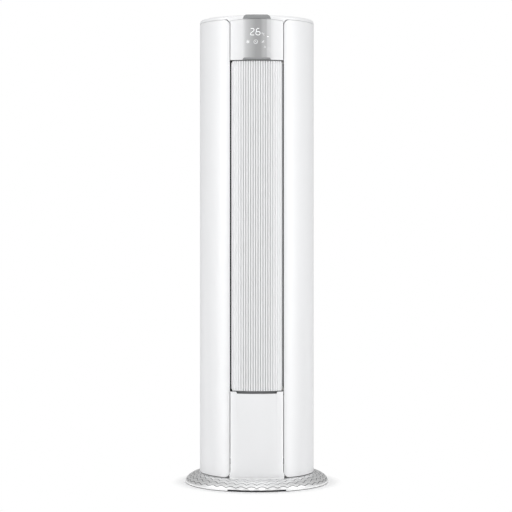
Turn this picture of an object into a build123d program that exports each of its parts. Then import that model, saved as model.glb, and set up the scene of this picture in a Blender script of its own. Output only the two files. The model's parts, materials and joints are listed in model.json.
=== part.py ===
from build123d import *
import os
from math import acos, asin, cos, degrees, exp, floor, pi, radians, sin, sqrt, tan

# Floor standing air conditioner with a cylinder cabinet, in millimetres.
# The origin is the centre of the footprint on the floor, +Z is up and the front faces -Y.
# Angles round the cabinet are in degrees from the front and grow towards +X.

# ---- Driving dimensions: cabinet ----
total_height = 1750.0
body_radius = 216.0
panel_wall = 3.0
seam_gap = 3.0  # between the centre column's panels and the side panels
seat_gap = 0.3  # between curved faces that seat on each other
column_width = 201.4  # clear width between the side panels at the front
corner_radius = 21.0  # inner corners of the side panels
side_panel_end = 125.0  # angle where the side panels meet the rear casing
cover_seam = 1.0  # line between the side panels and the top cover
rear_seam = 1.0  # line between the side panels and the rear casing
front_span = 60.0  # degrees to each side that hold every piece of the centre column

# ---- Foot ----
flange_radius = 270.0
flange_rise = 31.7
rim_height = 8.0
rim_width = 12.0
flange_wall = 3.0
collar_height = 23.0
notch_width = 215.0
foot_gap = 3.3  # shadow line between the flange and the side panels
base_sheet = 3.0

# ---- Top cover ----
cover_band = 13.5
cover_wall = 4.0
shoulder_radius = 9.0
shoulder_steps = 3  # conical bands that the rounded shoulder is made of
lip_depth = 20.0
lip_angle = 16.0  # each locating tab's arc
lip_places = (50.0, 150.0, 210.0, 310.0)  # the tabs' angles
apron_drop = 10.0  # how far the apron over the display reaches below the side panels' corners
trim_base_width = 104.0
trim_top_width = 88.0
trim_corner = 7.0
trim_length = 62.0
trim_proud = 1.5

# ---- Display ----
display_height = 151.0
display_arch = 6.0  # how far the top edge drops towards its ends
window_width = 104.0
window_sheet = 1.5
chin_base_width = 104.0
chin_top_width = 98.0
chin_height = 8.0
chin_proud = 1.0
board_width = 90.0
board_height = 96.0
board_sheet = 1.6
board_setback = 15.0
board_rise = 28.0  # from the display panel's lower edge
rib_sheet = 3.0  # ribs behind the display that carry its board
rib_inset = 4.0

# ---- Lower front panel ----
lower_panel_height = 313.0
column_rise = 5.0  # its lower edge lies above that of the side panels
recess_base_width = 147.0
recess_top_width = 158.0
recess_height = 9.0
cup_depth = 25.5
cup_wall = 2.0
cup_gap = 0.5  # between the cup, the deck behind it and the panel's top edge

# ---- Outlet door ----
door_inset = 2.5
door_side_gap = 6.9
flute_count = 21
flute_depth = 3.0
flute_foot = 0.78  # part of a flute's pitch that its rib takes at the foot
flute_crown = 0.36  # and under its crown
crown_rise = 0.5
door_wall = 3.0
door_travel = 57.0
carrier_inset = 0.5  # from the door's ends to its carriers

# ---- Door guide and drive ----
gear_module = 2.5
pinion_teeth = 15
pressure_angle = 20.0
gear_backlash = 0.3
short_addendum = 0.8
dedendum = 1.25
rack_height = 9.0
rack_back = 6.0
rack_web = 3.5
rack_lead = 10.0  # the rack runs on this many degrees past the door's leading edge
guide_width = 2.0
guide_play = 0.4
guide_depth = 5.0
drive_angle = 33.0
drive_shaft_radius = 3.0
shaft_hole_gap = 1.0
running_clearance = 0.05

# ---- Decks and posts ----
deck_sheet = 3.0
deck_margin = 0.6  # from the door's carriers to the deck's front edge
deck_notch_margin = 6.0  # to each side of the finger recess
post_angle = 97.0
post_size = 18.0
post_wall = 2.0

# ---- Outlet frame and air guides ----
duct_width = 160.0
duct_wall = 3.0
frame_plate = 4.0
frame_gap = 1.0  # between the door and the frame
mouth_inset = 1.0
wall_bite = 0.5  # how far the duct's walls run into the curved flange
mouth_flare = 1.2  # width of a wall where it meets the flange, as a part of its thickness
pinion_room = 3.0
frame_end_gap = 4.5
frame_flange_angle = 31.5
vane_spacing = 52.0
vane_chord = 48.0
vane_thickness = 3.0
vane_edge = 0.8  # thickness at its front and rear edge
vane_setback = 44.5
vane_pin_radius = 2.0
vane_crank = 14.0
crank_sheet = 3.0
crank_width = 7.0
vane_end_gap = 1.0
crank_pin_proud = 0.5
link_width = 8.0
link_play = 0.5
guide_pitch = 84.0
guide_chord = 40.0
guide_thickness = 1.6
guide_rail = 2.0
guide_gap = 6.0  # between the sweep of the vanes and the guide plates
guide_margin = 2.0  # duct wall past the vanes' and the guides' rear edges

# ---- Fan ----
fan_x = 15.0
fan_radius = 60.0
fan_end_gap = 24.0
blade_count = 16
blade_depth = 13.0
blade_thickness = 1.8
blade_lean = 9.0  # degrees by which a blade's outer edge leads its root
blade_bite = 1.0
blade_inset = 0.5
disc_thickness = 3.0
end_disc = 8.0
motor_shaft_radius = 6.0
bearing_shaft_radius = 4.0
bearing_width = 40.0
bearing_height = 14.0
shaft_reach = 0.75  # part of the motor's height that its shaft takes
shaft_room = 6.0  # round the fan's shafts where they pass a deck
scroll_gap = 6.0
scroll_start = 125.0
scroll_growth = 0.2
nose_radius = 4.0
wall_overlap = 1.0  # by which two walls of the duct run into each other
motor_radius = 49.0
motor_height = 62.0
motor_drop = 8.0
strap_width = 40.0
strap_sheet = 2.0
strap_foot = 16.0

# ---- Coil, pan and heater ----
coil_gap = 15.0  # between the coil and the shells
coil_depth = 36.0
coil_start = 110.0
coil_plate = 2.0
coil_flange = 2.0  # how far the end plates stand past the fins
fin_inset = 4.0
header_rise = 60.0  # from the deck to the headers' lower ends
header_drop = 80.0  # from the coil's top to their upper ends
stub_drop = 200.0
stub_share = 0.6  # a stub's radius as a part of its header's
liquid_inset = 4.0
pan_wall = 2.0
pan_height = 24.0
pan_margin = 3.0
pan_overhang = 1.6  # degrees that the pan reaches past each end of the coil
spigot_radius = 8.0
spigot_length = 34.0
spigot_neck = 1.5  # how much thicker it is where it passes the deck
spigot_step = 1.0
spigot_wall = 2.0
pan_gap = 0.5
spigot_angle = 130.0
header_clearance = 2.5
gas_pipe_radius = 7.94
liquid_pipe_radius = 4.76
gas_thread_radius = 11.11
liquid_thread_radius = 7.94
union_length = 34.0
pipe_room = 1.5  # round the pipes where they pass the lower deck
union_step = 1.6  # from the thread's crest out to the hexagon's flats
pipe_length = 190.0  # below the lower deck
heater_width = 26.0
heater_depth = 14.0
heater_x = 59.0
heater_y = 78.0
heater_end = 60.0  # height of the blocks at its ends
heater_side_inset = 4.0  # of those blocks
heater_face_inset = 2.0

# ---- Rear ----
window_half_width = 120.0
window_margin = 60.0
grille_gap = 0.4
grille_border = 9.0
grille_depth = 6.0
slot_width = 12.0
slot_pitch = 19.0
slot_tiers = 2
tier_gap = 14.0
filter_gap = 0.3
filter_frame = 10.0
filter_depth = 3.0
filter_mesh = 0.8
filter_rows = 4
pipe_outlet_radius = 32.5
pipe_outlet_height = 112.0
outlet_collar = 14.0
collar_proud = 3.0
gland_radius = 5.0
gland_angle = 158.0
bracket_drop = 74.0  # from the shells' top edge down to the bracket
bracket_width = 90.0
bracket_sheet = 2.0
bracket_reach = 52.0
bracket_leg = 20.0
pad_margin = 4.0
pad_proud = 1.5
wall_hole_spacing = 60.0
wall_hole_radius = 3.25

# ---- Electrical box ----
box_width = 150.0
box_depth = 70.0
box_height = 150.0
box_wall = 2.0
box_shift = 20.0  # to the left, clear of the door's motor
box_setback = 1.0  # from the pull cup's ends to the box
stepper_radius = 14.0
stepper_height = 15.0
stepper_floor = 2.0  # under the door motor's shaft
vane_shaft_drop = 3.0
bore_gap = 1.0  # past a shaft's end

# ---- Levels, from the floor up ----
collar_bottom = rim_height + flange_rise
side_bottom = collar_bottom + foot_gap
panel_bottom = side_bottom + column_rise
lower_top = panel_bottom + lower_panel_height
cover_top = total_height - trim_proud
cover_bottom = cover_top - cover_band
side_top = cover_bottom - cover_seam
display_bottom = cover_bottom - display_height
door_bottom = lower_top + seam_gap
door_top = display_bottom - seam_gap
rack_bottom = door_bottom + carrier_inset
rack_top = rack_bottom + rack_height
shoe_top = door_top - carrier_inset
shoe_bottom = shoe_top - rack_height
frame_bottom = rack_top + frame_end_gap
frame_top = shoe_bottom - frame_end_gap
deck_underside = lower_top - deck_sheet
bracket_height = side_top - bracket_drop
cover_underside = cover_top - cover_wall

# ---- Radii, from the outside in ----
panel_inner = body_radius - panel_wall
seat_radius = panel_inner - seat_gap
door_radius = panel_inner - door_inset
door_inner = door_radius - flute_depth - door_wall
groove_outer = door_inner - rack_back
groove_inner = groove_outer - guide_width - 2 * guide_play
rack_teeth = floor(2 * (groove_inner - rack_web) / gear_module - 2 * dedendum)
rack_pitch_radius = gear_module * rack_teeth / 2
pinion_pitch_radius = gear_module * pinion_teeth / 2
drive_radius = rack_pitch_radius - pinion_pitch_radius
deck_front = groove_outer + deck_margin
frame_outer = door_inner - frame_gap
coil_outer = panel_inner - coil_gap
coil_inner = coil_outer - coil_depth

# ---- Widths and places derived from them ----
column_half = column_width / 2
centre_half = column_half - seam_gap
door_half_width = column_half - door_side_gap
door_half_angle = degrees(asin(door_half_width / door_radius))
duct_half = duct_width / 2
vane_y = -(door_inner - vane_setback)
guide_front = vane_y + vane_chord / 2 + guide_gap
frame_rear = guide_front + guide_chord + guide_margin
frame_bend = vane_y + vane_chord / 2 + guide_margin
fan_bottom = lower_top + fan_end_gap
fan_top = display_bottom - fan_end_gap
REACH = 2 * flange_radius
CUT = 1.0  # how far a cutting body runs past what it cuts
CUT_ANGLE = 2.0


# ---- Shapes used throughout ----
def polar(radius, angle):
    """Point at a radius and an angle from the front."""
    return (radius * sin(radians(angle)), -radius * cos(radians(angle)))


def sector(inner, outer, start, end, bottom, top):
    """Upright slab between two radii and two angles."""
    middle = (start + end) / 2
    with BuildSketch() as outline:
        with BuildLine():
            ThreePointArc(polar(outer, start), polar(outer, middle), polar(outer, end))
            Line(polar(outer, end), polar(inner, end))
            ThreePointArc(polar(inner, end), polar(inner, middle), polar(inner, start))
            Line(polar(inner, start), polar(outer, start))
        make_face()
    return Pos(0, 0, bottom) * extrude(outline.sketch, top - bottom)


def block(x_low, x_high, y_low, y_high, z_low, z_high):
    """Box between its limits."""
    size = Box(x_high - x_low, y_high - y_low, z_high - z_low, align=(Align.MIN, Align.MIN, Align.MIN))
    return Pos(x_low, y_low, z_low) * size


def upright(radius, centre, bottom, top):
    """Vertical round bar."""
    bar = Cylinder(radius, top - bottom, align=(Align.CENTER, Align.CENTER, Align.MIN))
    return Pos(centre[0], centre[1], bottom) * bar


def bearing_hole(radius, centre, bottom, top):
    """Eight-sided bore whose flats clear a round pin of this radius."""
    bore = RegularPolygon(radius + running_clearance, 8, major_radius=False)
    return Pos(centre[0], centre[1], bottom) * extrude(bore, top - bottom)


def pin(radius, centre, bottom, top):
    """Twelve-sided pin whose corners lie on this radius."""
    return Pos(centre[0], centre[1], bottom) * extrude(RegularPolygon(radius, 12), top - bottom)


def bar_between(start, end, profile):
    """Bar of a profile between two points."""
    run = Vector(*end) - Vector(*start)
    return extrude(Plane(origin=start, z_dir=run) * profile, run.length)


def through_front(sketch):
    """Solid that a front view outline sweeps along Y."""
    return extrude(Plane.XZ * sketch, REACH, both=True)


def slab(points, bottom, top):
    """Upright slab with straight sides."""
    return Pos(0, 0, bottom) * extrude(make_face(Polyline(*points, close=True)), top - bottom)


def turned(points):
    """Solid of revolution about the cabinet's axis, from radius and height pairs."""
    return revolve(Plane.XZ * make_face(Polyline(*points, close=True)), Axis.Z)


def save(name, *pieces):
    """Writes one node, which may hold several solids."""
    solids = [solid for piece in pieces for solid in piece.solids()]
    export_step(solids[0] if len(solids) == 1 else Compound(solids), f"parts/{name}.step")


# ---- Front outlines ----
def side_outline(grow):
    """Front view of the right side panel, grown by a gap all round."""
    with BuildSketch() as outline:
        with BuildLine():
            Polyline(
                (column_half - grow, side_bottom - grow),
                (REACH, side_bottom - grow),
                (REACH, side_top + grow),
                (column_half - grow, side_top + grow),
                close=True,
            )
        make_face()
        fillet(outline.vertices().group_by(Axis.X)[0], corner_radius + grow)
    return outline.sketch


def centre_region(bottom, top):
    """Solid in front of the axis that the side panels leave free for the centre column."""
    wide = column_half + corner_radius
    region = block(-wide, wide, -REACH, 0, bottom, top)
    region -= through_front(side_outline(seam_gap))
    return region - mirror(through_front(side_outline(seam_gap)), Plane.YZ)


def trapezoid(base_width, top_width, bottom, top, corner=0.0):
    """Front view trapezoid, its two upper corners rounded."""
    with BuildSketch() as outline:
        with BuildLine():
            Polyline(
                (-base_width / 2, bottom),
                (base_width / 2, bottom),
                (top_width / 2, top),
                (-top_width / 2, top),
                close=True,
            )
        make_face()
        if corner:
            fillet(outline.vertices().group_by(Axis.Y)[-1], corner)
    return outline.sketch


def display_outline(grow):
    """Front view of the display panel with its arched top edge."""
    half = centre_half + grow
    with BuildSketch() as outline:
        with BuildLine():
            Line((-half, display_bottom), (half, display_bottom))
            Line((half, display_bottom), (half, side_top - display_arch + grow))
            ThreePointArc(
                (half, side_top - display_arch + grow),
                (0, side_top + grow),
                (-half, side_top - display_arch + grow),
            )
            Line((-half, side_top - display_arch + grow), (-half, display_bottom))
        make_face()
    return outline.sketch


def recess_prism():
    """Cut-out of the finger recess in the lower panel's top edge."""
    outline = trapezoid(recess_base_width, recess_top_width, lower_top - recess_height, lower_top)
    return through_front(outline)


def chin_prism():
    """Space of the grey insert under the display."""
    outline = trapezoid(
        chin_base_width, chin_top_width, display_bottom, display_bottom + chin_height, chin_height / 2
    )
    return through_front(outline) & block(-REACH, REACH, -REACH, 0, 0, total_height)


def cover_envelope(grow):
    """Outer form of the top cover, grown or shrunk by an offset."""
    turn = 90 / shoulder_steps
    reach = shoulder_radius + grow
    shoulder = [
        (
            body_radius - shoulder_radius + reach * cos(radians(turn * step)),
            cover_top - shoulder_radius + reach * sin(radians(turn * step)),
        )
        for step in range(shoulder_steps + 1)
    ]
    return turned([(0, cover_bottom), (body_radius + grow, cover_bottom), *shoulder, (0, cover_top + grow)])


def trim_space():
    """Space that the grey insert over the front top edge takes."""
    outline = trapezoid(trim_base_width, trim_top_width, cover_bottom, total_height, trim_corner)
    front = block(-REACH, REACH, -REACH, -(body_radius - trim_length), 0, REACH * 4)
    return through_front(outline) & front


# ---- Foot and structure ----
def base_flange():
    slope = flange_rise / (flange_radius - seat_radius)
    drop = flange_wall * sqrt(1 + slope**2)
    lip = flange_radius - rim_width
    collar_inner = seat_radius - flange_wall
    foot = turned(
        [
            (lip, 0),
            (flange_radius, 0),
            (flange_radius, rim_height),
            (seat_radius, collar_bottom),
            (seat_radius, collar_bottom + collar_height),
            (collar_inner, collar_bottom + collar_height),
            (collar_inner, collar_bottom + flange_wall * slope - drop),
            (lip, rim_height + rim_width * slope - drop),
        ]
    )
    half = notch_width / 2
    return foot - block(-half, half, -REACH, -lip * cos(asin(half / lip)) + CUT, -CUT, rim_height)


def base_plate():
    return upright(flange_radius - rim_width - seat_gap, (0, 0), 0, base_sheet)


def chassis_post(side):
    """Channel that carries the decks, open towards the cabinet's axis."""
    outer = post_outer
    channel = block(-post_size / 2, post_size / 2, -outer, post_size - outer, base_sheet, cover_underside)
    inside = block(
        -post_size / 2 + post_wall,
        post_size / 2 - post_wall,
        post_wall - outer,
        post_size - outer + CUT,
        0,
        total_height,
    )
    return Rot(0, 0, side * post_angle) * (channel - inside)


def post_space(side):
    """A post's outline with the gap that the decks leave round it."""
    outer = post_outer
    half = post_size / 2 + seat_gap
    return Rot(0, 0, side * post_angle) * block(
        -half, half, -outer - seat_gap, post_size - outer + seat_gap, 0, total_height
    )


def guide_rib(bottom, top):
    """Curved rib that the door's carriers run on, over the door's whole travel."""
    return sector(
        groove_inner + guide_play,
        groove_outer - guide_play,
        -door_half_angle,
        door_half_angle + rack_lead + door_travel,
        bottom,
        top,
    )


def lower_deck():
    deck = upright(seat_radius, (0, 0), deck_underside, lower_top)
    recess_angle = degrees(asin((recess_top_width / 2 + deck_notch_margin) / panel_inner))
    deck -= sector(deck_front, REACH, -recess_angle, recess_angle, 0, total_height)
    deck += guide_rib(lower_top, rack_bottom + guide_depth - seat_gap)
    deck -= bearing_hole(motor_shaft_radius + shaft_room, (fan_x, 0), 0, total_height)
    deck -= bearing_hole(drive_shaft_radius + shaft_hole_gap, drive_centre, 0, total_height)
    deck -= upright(spigot_radius + spigot_neck + seat_gap, spigot_centre, 0, total_height)
    reach = gas_pipe_radius + pipe_room
    pipe_slot = block(-reach, reach, -gas_place - reach, reach - liquid_place, 0, total_height)
    deck -= Rot(0, 0, -header_angle) * pipe_slot
    return deck - post_space(1) - post_space(-1)


def upper_deck():
    deck = upright(seat_radius, (0, 0), display_bottom, display_bottom + deck_sheet)
    deck += guide_rib(shoe_top - guide_depth + seat_gap, display_bottom)
    deck -= bearing_hole(bearing_shaft_radius + shaft_room, (fan_x, 0), display_bottom - CUT, cover_bottom)
    return deck - post_space(1) - post_space(-1)


# ---- Shells ----
def right_side_panel():
    start = degrees(asin(column_half / body_radius)) - CUT_ANGLE
    shell = sector(panel_inner, body_radius, start, side_panel_end, side_bottom, side_top)
    return shell & through_front(side_outline(0))


def rear_casing():
    seam = degrees(rear_seam / body_radius)
    shell = sector(
        panel_inner, body_radius, side_panel_end + seam, 360 - side_panel_end - seam, side_bottom, side_top
    )
    shell -= block(-window_half_width, window_half_width, 0, REACH, window_bottom, window_top)
    pad_half = bracket_width / 2 + pad_margin
    low = bracket_height - bracket_leg - pad_margin
    high = bracket_height + bracket_leg + pad_margin
    pad = block(-pad_half, pad_half, panel_inner - pad_margin, body_radius + pad_proud, low, high)
    pad -= upright(panel_inner, (0, 0), 0, total_height)
    shell += pad
    collar_back = body_radius + collar_proud
    bore_front = (0, collar_back - outlet_collar, pipe_outlet_height)
    bore_back = (0, collar_back, pipe_outlet_height)
    shell += bar_between(bore_front, bore_back, Circle(pipe_outlet_radius + panel_wall))
    axis = (0, 0, pipe_outlet_height)
    shell -= bar_between(axis, (0, REACH, pipe_outlet_height), Circle(pipe_outlet_radius))
    gland_end = (*polar(REACH, gland_angle), pipe_outlet_height)
    return shell - bar_between(axis, gland_end, Circle(gland_radius))


def inlet_grille():
    half = window_half_width - grille_gap
    bottom = window_bottom + grille_gap
    top = window_top - grille_gap
    span = degrees(asin(half / (body_radius - grille_depth))) + CUT_ANGLE
    panel = sector(body_radius - grille_depth, body_radius, 180 - span, 180 + span, bottom, top)
    panel &= block(-half, half, 0, REACH, bottom, top)
    panel -= sector(0.5, panel_inner, 90, 270, bottom + grille_border, top - grille_border) & block(
        grille_border - half, half - grille_border, 0, REACH, bottom, top
    )
    tier = (top - bottom - 2 * grille_border - (slot_tiers + 1) * tier_gap) / slot_tiers
    columns = floor((half - grille_border - slot_pitch / 2) / slot_pitch)
    slots = [
        block(
            slot_pitch * column - slot_width / 2,
            slot_pitch * column + slot_width / 2,
            0,
            REACH,
            bottom + grille_border + tier_gap + row * (tier + tier_gap),
            bottom + grille_border + (row + 1) * (tier + tier_gap),
        )
        for column in range(-columns, columns + 1)
        for row in range(slot_tiers)
    ]
    return panel - slots


def air_filter():
    outer = body_radius - grille_depth - filter_gap
    inner = outer - filter_depth
    half = window_half_width - grille_border
    bottom = window_bottom + grille_border
    top = window_top - grille_border
    span = degrees(asin(half / inner)) + CUT_ANGLE
    frame = sector(inner, outer, 180 - span, 180 + span, bottom, top)
    frame &= block(-half, half, 0, REACH, bottom, top)
    cell = (top - bottom - filter_frame) / filter_rows
    for row in range(filter_rows):
        for side in (0, 1):
            left = (side - 1) * (half - filter_frame) + side * filter_frame / 2
            right = side * (half - filter_frame) - (1 - side) * filter_frame / 2
            low = bottom + filter_frame + row * cell
            window = block(left, right, 0, REACH, low, low + cell - filter_frame)
            frame -= window & upright(outer - filter_mesh, (0, 0), 0, total_height)
    return frame


def top_cover():
    band_inner = seat_radius - panel_wall
    cover = cover_envelope(0)
    cover -= upright(band_inner, (0, 0), cover_bottom - CUT, cover_underside)
    for middle in lip_places:
        start = middle - lip_angle / 2
        cover += sector(band_inner, seat_radius, start, start + lip_angle, side_top - lip_depth, cover_bottom)
    apron_bottom = side_top - corner_radius - apron_drop
    apron = sector(panel_inner, body_radius, -front_span, front_span, apron_bottom, cover_bottom)
    apron &= centre_region(apron_bottom, cover_bottom)
    cover += apron
    cover -= through_front(display_outline(cover_seam)) & block(-REACH, REACH, -REACH, 0, 0, cover_bottom)
    return cover - (trim_space() - cover_envelope(-trim_proud))


def top_trim():
    return (trim_space() & cover_envelope(trim_proud)) - cover_envelope(-trim_proud)


def display_panel():
    shell = sector(panel_inner, body_radius, -front_span, front_span, display_bottom, side_top)
    shell &= through_front(display_outline(0))
    shell -= chin_prism()
    shell -= window_space()
    rib_back = -(panel_inner - board_setback)
    for x in (rib_inset - board_width / 2, board_width / 2 - rib_inset - rib_sheet):
        rib = block(x, x + rib_sheet, -body_radius, rib_back, board_bottom, board_bottom + board_height)
        shell += rib & upright(panel_inner + wall_bite, (0, 0), 0, total_height)
    return shell


def window_space():
    """Shallow recess that the silver display window fills."""
    strip = block(
        -window_width / 2,
        window_width / 2,
        -REACH,
        0,
        display_bottom + chin_height,
        side_top,
    )
    layer = sector(body_radius - window_sheet, body_radius, -front_span, front_span, display_bottom, side_top)
    return layer & strip & through_front(display_outline(0))


def display_board():
    back = -(panel_inner - board_setback)
    half = board_width / 2
    return block(-half, half, back, back + board_sheet, board_bottom, board_bottom + board_height)


def chin_trim():
    ring = sector(panel_inner, body_radius + chin_proud, -front_span, front_span, display_bottom, side_top)
    return ring & chin_prism()


def lower_front_panel():
    shell = sector(panel_inner, body_radius, -front_span, front_span, panel_bottom, lower_top)
    shell &= centre_region(panel_bottom, lower_top)
    return shell - recess_prism()


def pull_cup():
    """Pocket behind the panel's top edge that the fingers reach down into."""
    span = cup_span - degrees(cup_wall / panel_inner)
    bottom = lower_top - cup_depth
    cup = sector(cup_back, seat_radius, -cup_span, cup_span, bottom, lower_top - cup_gap)
    return cup - sector(cup_back + cup_wall, REACH, -span, span, bottom + cup_wall, lower_top)


# ---- Outlet door and its drive ----
def outlet_door():
    """Curved shell with upright ribs, each with sloping flanks and a gentle crown."""
    pitch = 2 * door_half_angle / flute_count
    groove = door_radius - flute_depth
    shoulder = door_radius - crown_rise
    corner = polar(groove, -door_half_angle)
    with BuildSketch() as outline:
        with BuildLine():
            for flute in range(flute_count):
                middle = (flute + 0.5) * pitch - door_half_angle
                left = polar(shoulder, middle - pitch * flute_crown / 2)
                right = polar(shoulder, middle + pitch * flute_crown / 2)
                foot = polar(groove, middle + pitch * flute_foot / 2)
                Polyline(corner, polar(groove, middle - pitch * flute_foot / 2), left)
                ThreePointArc(left, polar(door_radius, middle), right)
                Line(right, foot)
                corner = foot
            Polyline(corner, polar(groove, door_half_angle), polar(door_inner, door_half_angle))
            ThreePointArc(
                polar(door_inner, door_half_angle), polar(door_inner, 0), polar(door_inner, -door_half_angle)
            )
            Line(polar(door_inner, -door_half_angle), polar(groove, -door_half_angle))
        make_face()
    return Pos(0, 0, door_bottom) * extrude(outline.sketch, door_top - door_bottom)


def door_rack():
    """Curved rack with inward teeth, grooved below for the deck's guide rib."""
    tip = rack_pitch_radius - short_addendum * gear_module
    root = rack_pitch_radius + dedendum * gear_module
    half_tooth = (pi * gear_module - gear_backlash) / 4
    lean = tan(radians(pressure_angle))
    root_half = degrees((half_tooth + (root - rack_pitch_radius) * lean) / root)
    tip_half = degrees((half_tooth - (rack_pitch_radius - tip) * lean) / tip)
    pitch = 360 / rack_teeth
    start, end = -door_half_angle, door_half_angle + rack_lead
    first = floor((start - drive_angle) / pitch) + 1
    last = floor((end - drive_angle) / pitch) - 1
    teeth = []
    for tooth in range(first, last + 1):
        middle = drive_angle + (tooth + 0.5) * pitch
        teeth += [polar(root, middle - root_half), polar(tip, middle - tip_half)]
        teeth += [polar(tip, middle + tip_half), polar(root, middle + root_half)]
    with BuildSketch() as outline:
        with BuildLine():
            left, right = polar(door_inner, start), polar(door_inner, end)
            Polyline(left, polar(root, start), *teeth, polar(root, end), right)
            ThreePointArc(right, polar(door_inner, (start + end) / 2), left)
        make_face()
    rack = Pos(0, 0, rack_bottom) * extrude(outline.sketch, rack_height)
    start -= CUT_ANGLE
    end += CUT_ANGLE
    return rack - sector(groove_inner, groove_outer, start, end, rack_bottom - CUT, rack_bottom + guide_depth)


def door_shoe():
    """Plain carrier at the door's top end, grooved above for the upper deck's guide rib."""
    start, end = -door_half_angle, door_half_angle + rack_lead
    shoe = sector(groove_inner - rack_web, door_inner, start, end, shoe_bottom, shoe_top)
    start -= CUT_ANGLE
    end += CUT_ANGLE
    return shoe - sector(groove_inner, groove_outer, start, end, shoe_top - guide_depth, shoe_top + CUT)


def door_pinion():
    """Pinion whose teeth follow the involute, on its shaft."""
    base = pinion_pitch_radius * cos(radians(pressure_angle))
    tip = pinion_pitch_radius + short_addendum * gear_module
    root = pinion_pitch_radius - dedendum * gear_module
    def involute(radius):
        roll = acos(min(base / radius, 1))
        return tan(roll) - roll

    half_at_pitch = (pi * gear_module - gear_backlash) / 4 / pinion_pitch_radius
    flank = [(root, half_at_pitch + involute(pinion_pitch_radius))]
    for radius in (base, pinion_pitch_radius, tip):
        flank.append((radius, half_at_pitch + involute(pinion_pitch_radius) - involute(radius)))
    points = []
    for tooth in range(pinion_teeth):
        middle = drive_angle + 360 * tooth / pinion_teeth
        for radius, half in flank:
            points.append(polar(radius, middle - degrees(half)))
        for radius, half in reversed(flank):
            points.append(polar(radius, middle + degrees(half)))
    wheel = Pos(*drive_centre, 0) * slab(points, rack_bottom, rack_top)
    return wheel + upright(drive_shaft_radius, drive_centre, drive_shaft_end, rack_top)


def stepper(centre, bottom, top, shaft_radius, shaft_end):
    """Round stepper motor body with the blind bore that its shaft turns in."""
    body = upright(stepper_radius, centre, bottom, top)
    from_below = shaft_end > (bottom + top) / 2
    low, high = (bottom - CUT, shaft_end + bore_gap) if from_below else (shaft_end - bore_gap, top + CUT)
    return body - bearing_hole(shaft_radius, centre, low, high)


# ---- Outlet frame, vanes and guides ----
def outlet_frame():
    mouth_angle = degrees(asin((door_half_width - mouth_inset) / frame_outer))
    plate_inner = frame_outer - duct_wall
    mouth = polar(frame_outer - wall_bite, mouth_angle)
    behind = polar(plate_inner + wall_bite, mouth_angle + degrees(duct_wall / frame_outer) * mouth_flare)
    wall_points = [
        (duct_half, frame_rear),
        (duct_half, frame_bend),
        mouth,
        behind,
        (duct_half + duct_wall, frame_bend),
        (duct_half + duct_wall, frame_rear),
    ]
    right = slab(wall_points, frame_bottom, frame_top)
    right += sector(plate_inner, frame_outer, mouth_angle, frame_flange_angle, frame_bottom, frame_top)
    leg_front = drive_centre[1] + pinion_pitch_radius + gear_module + pinion_room
    right += block(duct_half, duct_half + duct_wall, leg_front, frame_rear, lower_top, display_bottom)
    frame = right + mirror(right, Plane.YZ)
    reach = door_half_width + duct_wall
    for bottom in (frame_bottom, frame_top - frame_plate):
        plate = sector(0.5, frame_outer, -mouth_angle, mouth_angle, bottom, bottom + frame_plate)
        plate &= block(-reach, reach, -REACH, frame_rear, bottom, bottom + frame_plate)
        corner = slab(
            [(duct_half, 0), (duct_half, frame_bend), mouth, (REACH, mouth[1]), (REACH, 0)],
            bottom - CUT,
            bottom + frame_plate + CUT,
        )
        frame += plate - corner - mirror(corner, Plane.YZ)
    for x in vane_places:
        frame -= bearing_hole(vane_pin_radius, (x, vane_y), 0, total_height)
    return frame


def vane(x):
    """Tall blade with a pin at each end and a crank near its top."""
    half = vane_chord / 2
    bottom = frame_bottom + frame_plate + vane_end_gap
    thick = vane_thickness / 2
    edge = vane_edge / 2
    side = crank_width / 2
    right = [(x + edge, vane_y - half), (x + thick, vane_y - half / 3), (x + thick, vane_y + half / 3)]
    right.append((x + edge, vane_y + half))
    blade = slab(right + [(2 * x - across, y) for across, y in reversed(right)], bottom, vane_top)
    crank_top = vane_top + crank_sheet
    blade += block(x - side, x + side, vane_y - side, vane_y + vane_crank + side, vane_top, crank_top)
    pin_top = crank_top + crank_sheet + crank_pin_proud
    blade += pin(vane_pin_radius, (x, vane_y + vane_crank), vane_top, pin_top)
    upper = vane_shaft_end if x == 0 else frame_top
    blade += pin(vane_pin_radius, (x, vane_y), vane_top, upper)
    return blade + pin(vane_pin_radius, (x, vane_y), frame_bottom, bottom + CUT)


def vane_link():
    low = vane_top + crank_sheet + seat_gap
    half = vane_spacing + link_width / 2
    y = vane_y + vane_crank
    bar = block(-half, half, y - link_width / 2, y + link_width / 2, low, low + crank_sheet - link_play)
    for x in vane_places:
        bar -= bearing_hole(vane_pin_radius, (x, y), 0, total_height)
    return bar


def guide_grille():
    """One moulding: two side rails and the level plates that span the duct between them."""
    bottom = frame_bottom + frame_plate
    top = frame_top - frame_plate
    count = floor((top - bottom) / guide_pitch)
    rest = (top - bottom - (count - 1) * guide_pitch) / 2
    half = duct_half - seat_gap
    inner = half - guide_rail
    back = guide_front + guide_chord
    grille = block(-half, -inner, guide_front, back, bottom, top)
    grille += block(inner, half, guide_front, back, bottom, top)
    plates = [
        block(-half, half, guide_front, back, level, level + guide_thickness)
        for level in (bottom + rest + guide_pitch * plate for plate in range(count))
    ]
    return grille + plates


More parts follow.
